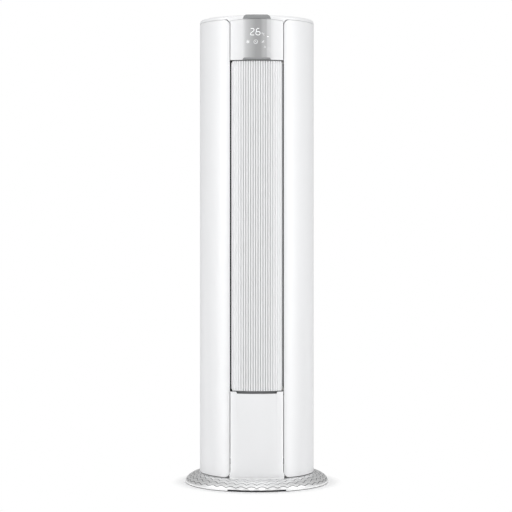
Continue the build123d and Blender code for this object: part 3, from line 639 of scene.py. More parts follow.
class Wardrobe:
    """Finishes made so far."""

    def __init__(self) -> None:
        """Starts empty."""
        self.made: dict[str, bpy.types.Material] = {}

    def dress(self, obj: bpy.types.Object, *names: str) -> None:
        """Gives an object its finishes, the first of them all over.

        Args:
            obj: The piece.
            names: Names of the finishes, one for each of its material slots.
        """
        obj.data.materials.clear()
        for name in names:
            if name not in self.made:
                self.made[name] = FINISHES[name].build()
            obj.data.materials.append(self.made[name])


# ---------------------------------------------------------------- modelling tools


def on_cylinder(radius: float, bearing: float, height: float) -> Vector:
    """Point at a radius, a bearing and a height."""
    return Vector((radius * sin(radians(bearing)), -radius * cos(radians(bearing)), height))


def bearing_of(place: Vector) -> float:
    """Bearing of a point round the cabinet's axis."""
    return degrees(atan2(place.x, -place.y))


def at_bearing(place: Vector, bearing: float) -> bool:
    """Tells whether a point stands at a bearing."""
    return abs(bearing_of(place) - bearing) < NEAR_BEARING


def steps(start: float, end: float, longest: float) -> list[float]:
    """Even steps from one number to another.

    Args:
        start: First number.
        end: Last number.
        longest: Most that a step may be.

    Returns:
        The numbers, both ends included.
    """
    almost_half = 0.499  # makes round() count a part of a step as a whole one
    count = max(1, round(abs(end - start) / longest + almost_half))
    return [start + (end - start) * step / count for step in range(count + 1)]


def mirrored(places: Sequence[float]) -> list[float]:
    """Places from the centre line outwards, with their mirror images before them."""
    return [-place for place in reversed(places[1:])] + list(places)


class Bench:
    """Blender's modelling tools, used on one mesh at a time."""

    CORNER_SEGMENTS = 8
    EDGE_SEGMENTS = 2
    UPWARDS = Vector((0, 0, 0.5))  # how much facing up counts beside facing away from the axis

    @staticmethod
    def take(obj: bpy.types.Object) -> None:
        """Selects one object and nothing else.

        Args:
            obj: The object.
        """
        bpy.ops.object.select_all(action="DESELECT")
        obj.select_set(True)
        bpy.context.view_layer.objects.active = obj

    @staticmethod
    @contextmanager
    def editing(obj: bpy.types.Object) -> Iterator[None]:
        """Keeps an object in edit mode while its block runs, with all of it selected.

        Args:
            obj: The object.

        Yields:
            Nothing; the block runs there.
        """
        Bench.take(obj)
        bpy.ops.object.mode_set(mode="EDIT")
        bpy.ops.mesh.select_mode(type="VERT")
        bpy.ops.mesh.select_all(action="SELECT")
        yield
        bpy.ops.object.mode_set(mode="OBJECT")

    @staticmethod
    def pick(obj: bpy.types.Object, keep: Test) -> None:
        """Selects, in edit mode, the vertices whose place passes a test, and what lies between them.

        Args:
            obj: The piece.
            keep: Tells which places pass.
        """
        mesh = bmesh.from_edit_mesh(obj.data)
        for vertex in mesh.verts:
            vertex.select_set(False)
        mesh.select_flush(False)
        for vertex in mesh.verts:
            if keep(vertex.co):
                vertex.select_set(True)
        mesh.select_flush(True)
        bmesh.update_edit_mesh(obj.data)

    @staticmethod
    def pick_faces(obj: bpy.types.Object, keep: Test) -> None:
        """Selects, in edit mode, the faces whose centre passes a test.

        Args:
            obj: The piece.
            keep: Tells which centres pass.
        """
        mesh = bmesh.from_edit_mesh(obj.data)
        for vertex in mesh.verts:
            vertex.select_set(False)
        mesh.select_flush(False)
        for face in mesh.faces:
            if keep(face.calc_center_median()):
                face.select_set(True)
        bmesh.update_edit_mesh(obj.data)

    @staticmethod
    def chain(name: str, places: Sequence[Vector], closed: bool = False) -> bpy.types.Object:
        """Draws a line through some places.

        Args:
            name: Name of the piece.
            places: The line's corners.
            closed: Fills the outline with a face.

        Returns:
            The piece, whose mesh is in the cabinet's frame.
        """
        bpy.ops.object.select_all(action="DESELECT")
        bpy.ops.mesh.primitive_plane_add(size=MM, location=places[0])
        obj = bpy.context.object
        obj.name = name
        obj.data.name = name
        with Bench.editing(obj):
            bpy.ops.mesh.merge(type="CENTER")
            for start, end in pairwise(places):
                bpy.ops.mesh.extrude_region_move(TRANSFORM_OT_translate={"value": end - start})
            if closed:
                bpy.ops.mesh.select_all(action="SELECT")
                bpy.ops.mesh.edge_face_add()
        bpy.ops.object.transform_apply(location=True, rotation=True, scale=True)
        return obj

    @staticmethod
    def turn(degrees_on: float, count: int = 1, copies: bool = False) -> None:
        """Spins what is selected about the cabinet's axis, in edit mode, where spin counts clockwise."""
        about = {"angle": -radians(degrees_on), "center": (0, 0, 0), "axis": (0, 0, 1)}
        bpy.ops.mesh.spin(steps=count, dupli=copies, use_auto_merge=False, **about)

    @staticmethod
    def swell(scale: float) -> None:
        """Scales what is selected away from the cabinet's axis, in edit mode."""
        bpy.ops.transform.resize(value=(scale, scale, 1), center_override=(0, 0, 0))

    @staticmethod
    def close_up(obj: bpy.types.Object, gap: float = MERGE) -> None:
        """Merges doubled vertices and turns the faces outwards.

        Args:
            obj: The piece.
            gap: Distance under which vertices are one.
        """
        with Bench.editing(obj):
            bpy.ops.mesh.remove_doubles(threshold=gap)
            bpy.ops.mesh.normals_make_consistent(inside=False)

    @staticmethod
    def face_away(obj: bpy.types.Object) -> None:
        """Merges doubles and makes an upright or capping sheet face away from the axis and upwards.

        Args:
            obj: The sheet.
        """
        Bench.close_up(obj)
        total = 0.0
        for polygon in obj.data.polygons:
            outward = Vector((polygon.center.x, polygon.center.y, 0.0)).normalized() + Bench.UPWARDS
            total += polygon.normal.dot(outward) * polygon.area
        if total < 0:
            Bench.flip(obj)

    @staticmethod
    def flip(obj: bpy.types.Object) -> None:
        """Turns all faces round."""
        with Bench.editing(obj):
            bpy.ops.mesh.flip_normals()

    @staticmethod
    def arc_sheet(name: str, line: Line, bearings: Sequence[float]) -> bpy.types.Object:
        """Sweeps a line round the cabinet's axis.

        Args:
            name: Name of the piece.
            line: Radius and height of its corners.
            bearings: Where it has a column of vertices.

        Returns:
            The sheet.
        """
        obj = Bench.chain(name, [on_cylinder(radius, bearings[0], height) for radius, height in line])
        with Bench.editing(obj):
            for first, second in pairwise(bearings):
                Bench.turn(second - first)
        Bench.face_away(obj)
        return obj

    @staticmethod
    def slide(obj: bpy.types.Object, keep: Test, shift: float) -> None:
        """Moves the picked vertices up or down, in edit mode."""
        Bench.pick(obj, keep)
        bpy.ops.transform.translate(value=(0, 0, shift))

    @staticmethod
    def plate(name: str, outline: Line, rounding: float, keep: Test) -> bpy.types.Object:
        """Flat outline in the front view, some of its corners rounded.

        Args:
            name: Name of the piece.
            outline: Corners as X and Z pairs.
            rounding: Distance from a corner at which its rounding starts.
            keep: Tells which corners are rounded.

        Returns:
            The piece, in the plane of the cabinet's axis.
        """
        obj = Bench.chain(name, [Vector((x, 0, z)) for x, z in outline], closed=True)
        with Bench.editing(obj):
            Bench.pick(obj, keep)
            bpy.ops.mesh.bevel(affect="VERTICES", offset=rounding, segments=Bench.CORNER_SEGMENTS)
        return obj

    @staticmethod
    def prism(plate: bpy.types.Object, front: float, back: float) -> bpy.types.Object:
        """Makes a plate a bar between two places along Y.

        Args:
            plate: The plate, in the plane of the cabinet's axis.
            front: The bar's one end.
            back: Its other end.

        Returns:
            The bar.
        """
        with Bench.editing(plate):
            bpy.ops.transform.translate(value=(0, front, 0))
            bpy.ops.mesh.extrude_region_move(TRANSFORM_OT_translate={"value": (0, back - front, 0)})
        Bench.close_up(plate)
        return plate

    @staticmethod
    def box(name: str, low: Sequence[float], high: Sequence[float]) -> bpy.types.Object:
        """Block between two corners.

        Args:
            name: Name of the piece.
            low: Lowest corner.
            high: Highest corner.

        Returns:
            The block.
        """
        bpy.ops.object.select_all(action="DESELECT")
        middle = [(start + end) / 2 for start, end in zip(low, high)]
        bpy.ops.mesh.primitive_cube_add(size=1.0, location=middle)
        obj = bpy.context.object
        obj.name = name
        obj.data.name = name
        obj.scale = [end - start for start, end in zip(low, high)]
        bpy.ops.object.transform_apply(location=True, rotation=True, scale=True)
        return obj

    @staticmethod
    def carve(obj: bpy.types.Object, cutter: bpy.types.Object, operation: str = "DIFFERENCE") -> None:
        """Cuts a piece with another one, which is used up."""
        Bench.modify(obj, "BOOLEAN", operation=operation, solver="EXACT", object=cutter)
        bpy.data.objects.remove(cutter)

    @staticmethod
    def join(pieces: Sequence[bpy.types.Object]) -> bpy.types.Object:
        """Joins pieces into the first and merges the vertices where they meet.

        Args:
            pieces: The sheets.

        Returns:
            The first, now all of them.
        """
        Bench.take(pieces[0])
        for piece in pieces[1:]:
            piece.select_set(True)
        bpy.ops.object.join()
        Bench.face_away(pieces[0])
        return pieces[0]

    @staticmethod
    def modify(obj: bpy.types.Object, kind: str, **settings: object) -> None:
        """Adds a modifier and applies it.

        Args:
            obj: The piece.
            kind: The modifier's type.
            settings: The modifier's settings.
        """
        Bench.take(obj)
        bpy.ops.object.modifier_add(type=kind)
        modifier = obj.modifiers[-1]
        for name, value in settings.items():
            setattr(modifier, name, value)
        bpy.ops.object.modifier_apply(modifier=modifier.name)

    @staticmethod
    def soften(obj: bpy.types.Object, edge: float, sharpest: float = 40.0) -> None:
        """Rounds the edges sharper than an angle and shades the rest smoothly.

        Args:
            obj: The piece.
            edge: Width of the rounding, or 0 for none.
            sharpest: The angle in degrees.
        """
        limit = radians(sharpest)
        if edge > 0:
            settings = {"limit_method": "ANGLE", "angle_limit": limit, "use_clamp_overlap": True}
            Bench.modify(obj, "BEVEL", width=edge, segments=Bench.EDGE_SEGMENTS, **settings)
        Bench.take(obj)
        bpy.ops.object.shade_smooth_by_angle(angle=limit)

    @staticmethod
    def wall(obj: bpy.types.Object, thickness: float, edge: float) -> None:
        """Gives a sheet a wall towards the inside and rounds its edges."""
        Bench.modify(obj, "SOLIDIFY", thickness=thickness, offset=-1.0, use_even_offset=True)
        Bench.soften(obj, edge)


# ---------------------------------------------------------------- sub-assemblies


@dataclass
class Assembly:
    """Group of pieces that one class models and dresses.

    Fields:
        wardrobe: Finishes to dress the pieces with.
    """

    wardrobe: Wardrobe

    def settle(
        self, obj: bpy.types.Object, body: str, finish: str, slot: str, nodes: Sequence[str] = ()
    ) -> None:
        """Dresses a piece, ties it to its body and hides the nodes that it stands for.

        Args:
            obj: The piece.
            body: Body that it moves with.
            finish: Name of its finish, where it has none yet.
            slot: Material slot of the record; not used.
            nodes: Nodes that it stands for.
        """
        if not obj.data.materials:
            self.wardrobe.dress(obj, finish)
        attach(obj, body)
        if nodes:
            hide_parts(*nodes)
        LOG.info("%s rides on %s with %d faces", obj.name, body, len(obj.data.polygons))


@dataclass
class SidePanels(Assembly):
    """The two white shells that wrap the cabinet's sides.

    Fields:
        wall: Thickness of the shells.
        corner: Radius of the corners next to the centre column.
        edge: Rounding of the shells' edges.
        facet: Widest column in degrees.
    """

    wall: float = 3.0 * MM
    corner: float = 21.0 * MM
    edge: float = 1.0 * MM
    facet: float = 1.5

    def build(self) -> None:
        """Models both shells."""
        for side in Side:
            self.panel(side)

    def panel(self, side: Side) -> None:
        """Models one shell with its two rounded corners.

        Args:
            side: Side of the shell.
        """
        node = f"{side.name.lower()}_side_panel"
        low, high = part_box("right_side_panel")
        radius = high.x
        tail = bearing_of(Vector((sqrt(radius**2 - high.y**2), high.y, 0)))
        offsets = [self.corner * (1 - cos(angle)) for angle in ROUND_CORNER]
        drops = [self.corner * (1 - sin(angle)) for angle in ROUND_CORNER]
        columns = [degrees(asin((low.x + offset) / radius)) for offset in offsets]
        bearings = [side.value * bearing for bearing in columns + steps(columns[-1], tail, self.facet)[1:]]
        shell = Bench.arc_sheet(f"{node}_shell", [(radius, low.z), (radius, high.z)], bearings)
        middle = (low.z + high.z) / 2
        with Bench.editing(shell):
            for bearing, drop in zip(bearings, drops):
                Bench.slide(shell, lambda co: at_bearing(co, bearing) and co.z > middle, -drop)
                Bench.slide(shell, lambda co: at_bearing(co, bearing) and co.z < middle, drop)
        Bench.wall(shell, self.wall, self.edge)
        self.settle(shell, "cabinet", "cabinet_white", "cabinet_white", [node])


@dataclass(frozen=True)
class Column:
    """Measures of the centre column that several pieces share.

    Fields:
        radius: Outer radius of the shells.
        half: Half the width of its panels.
        seam: Gap between its panels and the side panels.
        corner: Radius of the side panels' corners.
        side_low: Lower edge of the side panels.
        side_high: Upper edge of the side panels.
        arch: Rise of the display panel's top edge.
    """

    radius: float
    half: float
    seam: float
    corner: float
    side_low: float
    side_high: float
    arch: float = 6.0 * MM

    @classmethod
    def measured(cls, corner: float) -> Column:
        """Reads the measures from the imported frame.

        Args:
            corner: Radius of the side panels' corners.

        Returns:
            The measures.
        """
        side_low, side_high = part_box("right_side_panel")
        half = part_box("display_panel")[1].x
        return cls(side_high.x, half, side_low.x - half, corner, side_low.z, side_high.z)

    def bearing(self, across: float) -> float:
        """Bearing of a place so far from the centre line."""
        return degrees(asin(across / self.radius))

    @property
    def reach(self) -> float:
        """Radius of a side panel's corner with the gap round it."""
        return self.corner + self.seam

    def corner_rise(self, across: float) -> float:
        """How far the gap round a corner stands from that corner's centre at a place across."""
        inward = self.half + self.reach - across
        return sqrt(max(self.reach**2 - inward**2, 0.0))

    def corner_end(self, rise: float) -> float:
        """Place across at which the gap round a corner stands so far from that corner's centre."""
        return self.half + self.reach - sqrt(self.reach**2 - rise**2)

    def arch_drop(self, across: float) -> float:
        """How far the display panel's top edge has come down at a place across."""
        radius = (self.half**2 + self.arch**2) / (2 * self.arch)
        return radius - sqrt(radius**2 - across**2)


@dataclass
class LowerPanel(Assembly):
    """Front panel under the door, with the finger recess in its top edge.

    Fields:
        column: Measures of the centre column.
        wall: Thickness of the panel.
        edge: Rounding of its edges.
        facet: Widest column in degrees.
        recess_base: Width of the recess at its bottom.
        recess_top: Width of the recess at the panel's edge.
        recess_depth: Depth of the recess.
        wing_step: Widest column under a side panel's corner.
    """

    column: Column
    wall: float = 3.0 * MM
    edge: float = 0.8 * MM
    facet: float = 1.5
    recess_base: float = 147.0 * MM
    recess_top: float = 158.0 * MM
    recess_depth: float = 7.0 * MM
    wing_step: float = 1.0 * MM

    def build(self) -> None:
        """Models the panel."""
        low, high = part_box("lower_front_panel")
        column = self.column
        corner_top = column.side_low + column.corner
        sill = high.z - self.recess_depth
        bearings = [0.0]
        for mark in (self.recess_base / 2, self.recess_top / 2, column.half):
            bearings += steps(bearings[-1], column.bearing(mark), self.facet)[1:]
        line = [(column.radius, height) for height in (low.z, corner_top, sill, high.z)]
        panel = Bench.arc_sheet("lower_panel_shell", line, mirrored(bearings))
        base = column.bearing(self.recess_base / 2)
        with Bench.editing(panel):
            Bench.pick_faces(panel, lambda co: co.z > sill and abs(bearing_of(co)) < base)
            bpy.ops.mesh.delete(type="FACE")
            Bench.pick(
                panel, lambda co: co.z > high.z - MM and (at_bearing(co, base) or at_bearing(co, -base))
            )
            bpy.ops.mesh.dissolve_verts()
        wings = [self.wing(side, low.z, corner_top) for side in Side]
        panel = Bench.join([panel, *wings])
        Bench.wall(panel, self.wall, self.edge)
        self.settle(panel, "front_panel", "cabinet_white", "cabinet_white", ["lower_front_panel"])

    def wing(self, side: Side, bottom: float, top: float) -> bpy.types.Object:
        """Corner that reaches under the side panel's rounded corner.

        Args:
            side: Side of the panel.
            bottom: The panel's lower edge.
            top: Height of the corner's centre.

        Returns:
            The sheet.
        """
        column = self.column
        places = steps(column.half, column.corner_end(top - bottom), self.wing_step)
        bearings = [side.value * column.bearing(place) for place in places]
        wing = Bench.arc_sheet(
            f"wing_{side.name.lower()}", [(column.radius, bottom), (column.radius, top)], bearings
        )
        with Bench.editing(wing):
            for place, bearing in zip(places, bearings):
                drop = column.corner_rise(place)
                Bench.slide(wing, lambda co: at_bearing(co, bearing) and co.z > bottom + MERGE, -drop)
        return wing


@dataclass
class DisplayPanel(Assembly):
    """Upper front panel with its arched top edge, its silver window and the grey inserts below and above.

    Fields:
        column: Measures of the centre column.
        wall: Thickness of the panel.
        edge: Rounding of the panel's and the upper insert's edges.
        facet: Widest column in degrees.
        window_wall: Thickness of the window.
        window_proud: How far the window stands out of the panel.
        chin_base: Width of the lower insert at its bottom.
        chin_top: Its width at its top.
        chin_corner: Where the rounding of its upper corners starts.
        chin_edge: Rounding of its edges.
        chin_spare: Degrees by which it is cut from a wider sheet.
        seam: Gap round it.
        crest_top: Width of the upper insert at its top.
        crest_corner: Where the rounding of its upper corners starts.
        crest_sides: Sides of the round block that it is cut from.
        crest_block: Height of that block.
        crest_crease: Angle over which its edges are rounded.
    """

    column: Column
    wall: float = 3.0 * MM
    edge: float = 0.8 * MM
    facet: float = 1.5
    window_wall: float = 1.5 * MM
    window_proud: float = 0.2 * MM
    chin_base: float = 104.0 * MM
    chin_top: float = 98.0 * MM
    chin_corner: float = 4.0 * MM
    chin_edge: float = 0.4 * MM
    chin_spare: float = 1.0
    seam: float = 0.15 * MM
    crest_top: float = 92.0 * MM
    crest_corner: float = 9.0 * MM
    crest_sides: int = 256
    crest_block: float = 200.0 * MM
    crest_crease: float = 24.0

    def build(self) -> None:
        """Models the panel, its window and its two inserts."""
        low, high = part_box("display_panel")
        window = self.window()
        panel = self.arched("display_panel_shell", self.column.half, low.z, high.z)
        Bench.wall(panel, self.wall, 0.0)
        chin_low, chin_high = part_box("chin_trim")
        cutter = self.chin_outline(
            "chin_cutter", chin_low.z - self.chin_corner, chin_high.z + self.seam, self.seam
        )
        Bench.carve(panel, Bench.prism(cutter, -2 * self.column.radius, 0.0))
        Bench.soften(panel, self.edge)
        self.settle(panel, "cabinet", "display_white", "cabinet_white", ["display_panel"])
        self.settle(window, "cabinet", "silver_window", "silver_window", ["display_window"])
        self.settle(self.chin(chin_low, chin_high), "cabinet", "grey_trim", "grey_trim", ["chin_trim"])
        self.settle(self.crest(), "cabinet", "grey_trim", "grey_trim", ["top_trim"])

    def arched(self, name: str, half: float, bottom: float, top: float) -> bpy.types.Object:
        """Sheet whose top edge follows the arch.

        Args:
            name: Name of the piece.
            half: Half its width.
            bottom: Its lower edge.
            top: Its upper edge on the centre line.

        Returns:
            The sheet.
        """
        column = self.column
        bearings = steps(-column.bearing(half), column.bearing(half), self.facet)
        sheet = Bench.arc_sheet(name, [(column.radius, bottom), (column.radius, top)], bearings)
        middle = (bottom + top) / 2
        with Bench.editing(sheet):
            for bearing in bearings:
                drop = column.arch_drop(column.radius * sin(radians(bearing)))
                Bench.slide(sheet, lambda co: at_bearing(co, bearing) and co.z > middle, -drop)
        return sheet

    def window(self) -> bpy.types.Object:
        """Silver window, a thin sheet that lies in the panel.

        Returns:
            The window.
        """
        low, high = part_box("display_window")
        window = self.arched("display_window_sheet", high.x, low.z, high.z)
        with Bench.editing(window):
            Bench.swell(1 + self.window_proud / self.column.radius)
        Bench.wall(window, self.window_wall, 0.0)
        return window

    def chin_outline(self, name: str, bottom: float, top: float, grow: float) -> bpy.types.Object:
        """Outline of the lower insert.

        Args:
            name: Name of the piece.
            bottom: Its lower edge.
            top: Its upper edge.
            grow: Gap by which its sides grow.

        Returns:
            The plate.
        """
        base, crown = self.chin_base / 2 + grow, self.chin_top / 2 + grow
        outline = [(-base, bottom), (base, bottom), (crown, top), (-crown, top)]
        return Bench.plate(name, outline, self.chin_corner, lambda co: co.z > top - MM)

    def chin(self, low: Vector, high: Vector) -> bpy.types.Object:
        """Lower insert, which stands a little proud.

        Args:
            low: The node's lowest corner.
            high: Its highest corner.

        Returns:
            The insert.
        """
        radius = -low.y
        end = self.column.bearing(high.x) + self.chin_spare
        bearings = steps(-end, end, self.facet)
        insert = Bench.arc_sheet("chin_insert", [(radius, low.z - MM), (radius, high.z + MM)], bearings)
        Bench.wall(insert, radius - self.column.radius + self.wall, 0.0)
        cutter = Bench.prism(self.chin_outline("chin_form", low.z, high.z, 0.0), -2 * radius, 0.0)
        Bench.carve(insert, cutter, "INTERSECT")
        Bench.soften(insert, self.chin_edge)
        return insert

    def crest(self) -> bpy.types.Object:
        """Upper insert, which laps over the cabinet's top edge.

        Returns:
            The insert.
        """
        low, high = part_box("top_trim")
        radius = -low.y
        half = self.crest_top / 2
        outline = [(low.x, low.z), (high.x, low.z), (half, high.z), (-half, high.z)]
        insert = Bench.plate("top_insert", outline, self.crest_corner, lambda co: co.z > high.z - MM)
        Bench.prism(insert, -2 * radius, high.y)
        bpy.ops.object.select_all(action="DESELECT")
        size = {"vertices": self.crest_sides, "radius": radius, "depth": self.crest_block}
        bpy.ops.mesh.primitive_cylinder_add(**size, location=(0, 0, high.z))
        Bench.carve(insert, bpy.context.object, "INTERSECT")
        Bench.soften(insert, self.edge, sharpest=self.crest_crease)
        return insert


@dataclass
class Signs(Assembly):
    """Lit signs of the display, laid on the silver window.

    Fields:
        column: Measures of the centre column.
        line: Half the width of a number's strokes.
        thin: Half the width of the small signs' strokes.
        proud: How far the signs stand out of the window.
        apart: Distance before the window at which they are drawn.
        roundness: Segments that round a stroke's edge.
        two: Corners of the first digit, as X and Z pairs in millimetres.
        six: Corners of the second digit.
    """

    column: Column
    line: float = 1.1 * MM
    thin: float = 0.7 * MM
    proud: float = 0.12 * MM
    apart: float = 20.0 * MM
    roundness: int = 2
    two: Line = (
        (-22.5, 1698.5), (-14.0, 1698.5), (-11.3, 1697.4), (-10.2, 1695.0), (-10.6, 1691.5), (-13.0, 1688.5),
        (-20.0, 1683.5), (-22.6, 1680.5), (-23.4, 1677.2), (-22.2, 1675.0), (-20.0, 1674.5), (-10.5, 1674.5),
    )
    six: Line = (
        (9.0, 1698.5), (3.5, 1698.5), (0.6, 1697.2), (-1.2, 1694.0), (-3.6, 1681.0), (-3.2, 1677.4),
        (-0.8, 1675.0), (2.5, 1674.5), (7.5, 1674.5), (10.4, 1675.8), (11.8, 1678.8), (12.0, 1682.4),
        (10.8, 1685.4), (8.0, 1686.8), (-1.6, 1686.8),
    )

    def build(self) -> None:
        """Lays the read-out and the small signs."""
        target = bpy.data.objects["display_window_sheet"]
        ring = self.ring
        self.sign("digit_two", [self.two], self.line, "lit_sign", target)
        self.sign("digit_six", [self.six], self.line, "lit_sign", target)
        self.sign("degree_mark", [ring(19.6, 1681.5, 1.6, 12)], 0.7 * self.thin, "dim_sign", target)
        self.sign("celsius_mark", [ring(26.4, 1677.4, 3.4, 12)[2:-2]], 0.8 * self.thin, "dim_sign", target)
        self.sign("level_bar", [((37.5, 1668.8), (44.0, 1668.8))], self.line, "lit_sign", target)
        frost = [*self.star(-33.0, 1650.0, 7.2), ring(-33.0, 1650.0, 4.6, 6)]
        self.sign("cool_mark", frost, 0.8 * self.thin, "dim_sign", target)
        bar = ((-7.4, 1652.9), (-0.6, 1646.1))
        self.sign("fan_mark", [ring(-4.0, 1649.5, 7.2, 16), bar], self.thin, "dim_sign", target)
        dots = [((x, z), (x + 0.4, z)) for x in (15.4, 28.6) for z in (1654.0, 1650.0, 1646.0)]
        arrow = ((19.4, 1648.2), (24.6, 1648.2), (24.6, 1654.6), (19.4, 1648.2))
        self.sign("air_mark", [*dots, arrow], 0.9 * self.line, "lit_sign", target)
        peak = ((26.4, 1628.5), (30.0, 1634.4), (33.6, 1628.5), (26.4, 1628.5))
        self.sign("timer_mark", [peak], self.thin, "dim_sign", target)

    @staticmethod
    def ring(x: float, z: float, radius: float, corners: int) -> list[Point]:
        """Corners of a circle that starts and ends on its right."""
        turns = [2 * pi * step / corners for step in range(corners + 1)]
        return [(x + radius * cos(turn), z + radius * sin(turn)) for turn in turns]

    @staticmethod
    def star(x: float, z: float, radius: float) -> list[Line]:
        """Three strokes that cross in the middle.

        Args:
            x: Place of the middle across the display.
            z: Its height.
            radius: Length of each arm.

        Returns:
            The strokes.
        """
        turns = [pi * step / 3 + pi / 2 for step in range(3)]
        return [
            (
                (x - radius * cos(turn), z - radius * sin(turn)),
                (x + radius * cos(turn), z + radius * sin(turn)),
            )
            for turn in turns
        ]

    def sign(
        self, name: str, strokes: Sequence[Line], line: float, finish: str, target: bpy.types.Object
    ) -> None:
        """Models one sign.

        Args:
            name: Name of the piece.
            strokes: Corners of each stroke as X and Z pairs in millimetres.
            line: Half the strokes' width.
            finish: Name of its finish.
            target: Surface that it lies on.
        """
        front = -self.column.radius - self.apart
        parts = [
            Bench.chain(f"{name}_{number}", [Vector((x * MM, front, z * MM)) for x, z in stroke])
            for number, stroke in enumerate(strokes)
        ]
        Bench.take(parts[0])
        for part in parts[1:]:
            part.select_set(True)
        if len(parts) > 1:
            bpy.ops.object.join()
        sign = parts[0]
        sign.name = name
        with Bench.editing(sign):
            bpy.ops.mesh.remove_doubles(threshold=5 * MERGE)
        Bench.take(sign)
        bpy.ops.object.convert(target="CURVE")
        sign.data.bevel_depth = line
        sign.data.bevel_resolution = self.roundness
        sign.data.use_fill_caps = True
        bpy.ops.object.convert(target="MESH")
        with Bench.editing(sign):
            bpy.ops.mesh.bisect(plane_co=(0, front, 0), plane_no=(0, 1, 0), clear_outer=True, use_fill=False)
        Bench.close_up(sign, 2 * MERGE)
        if sum(polygon.normal.y * polygon.area for polygon in sign.data.polygons) > 0:
            Bench.flip(sign)
        along_y = {"use_project_x": False, "use_project_y": True, "use_project_z": False}
        backwards = {"use_positive_direction": True, "use_negative_direction": False}
        settings = {"target": target, "wrap_method": "PROJECT", "offset": self.proud}
        Bench.modify(sign, "SHRINKWRAP", **settings, **along_y, **backwards)
        Bench.modify(sign, "SOLIDIFY", thickness=2 * self.proud, offset=-1.0)
        Bench.soften(sign, 0.0)
        self.settle(sign, "cabinet", finish, "silver_window")


@dataclass
class FlutedDoor(Assembly):
    """Curved outlet door with its upright flutes.

    Fields:
        flutes: Flutes side by side.
        depth: Height of a flute's crest over the grooves.
        wall: Thickness of the door.
        edge: Rounding of its edges.
        crease: Angle over which its edges are rounded.
        margin: Degrees by which a lip stands out at each side.
        margin_end: Distance of the lips' ends from the door's ends.
        profile: Half a flute, as share of its width and share of its height.
    """

    flutes: int = 21
    depth: float = 3.0 * MM
    wall: float = 3.0 * MM
    edge: float = 0.5 * MM
    crease: float = 60.0
    margin: float = 1.1
    margin_end: float = 6.0 * MM
    profile: Line = (
        (0.0, 0.0), (0.09, 0.02), (0.15, 0.16), (0.21, 0.46),
        (0.27, 0.76), (0.34, 0.93), (0.42, 0.99), (0.5, 1.0),
    )

    def build(self) -> None:
        """Models one flute and copies it across the door."""
        low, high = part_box("outlet_door")
        crest = -low.y
        groove = crest - self.depth
        half = degrees(asin(high.x / crest))
        pitch = 2 * half / self.flutes
        flute = [*self.profile, *((1 - share, rise) for share, rise in reversed(self.profile[:-1]))]
        bearings = [pitch * share - half for share, rise in flute]
        bottom, top = low.z + self.margin_end, high.z - self.margin_end
        door = Bench.arc_sheet(
            "fluted_door", [(groove, height) for height in (low.z, bottom, top, high.z)], bearings
        )
        with Bench.editing(door):
            for bearing, (share, rise) in zip(bearings, flute):
                if rise:
                    Bench.pick(door, lambda co: at_bearing(co, bearing))
                    Bench.swell(1 + rise * self.depth / groove)
            bpy.ops.mesh.select_all(action="SELECT")
            Bench.turn(pitch * (self.flutes - 1), self.flutes - 1, copies=True)
        Bench.face_away(door)
        with Bench.editing(door):
            for side in Side:
                border = side.value * half
                Bench.pick(door, lambda co: at_bearing(co, border) and bottom - MM < co.z < top + MM)
                Bench.turn(side.value * self.margin)
        Bench.face_away(door)
        Bench.wall(door, self.wall, 0.0)
        Bench.soften(door, self.edge, sharpest=self.crease)
        self.settle(door, "door", "door_white", "door_white", ["outlet_door"])


class FootShade(Enum):
    """Finishes of the foot, in the order of its material slots."""

    SILVER = "silver_foot"
    # painted shade in the grooves
    GROOVE = "silver_groove"
    # painted reflection of the floor on the rim, also on the front collar
    RIM = "silver_rim"
    # dark base ring, partly painted shade for the contact shadow
    BASE = "dark_plastic"


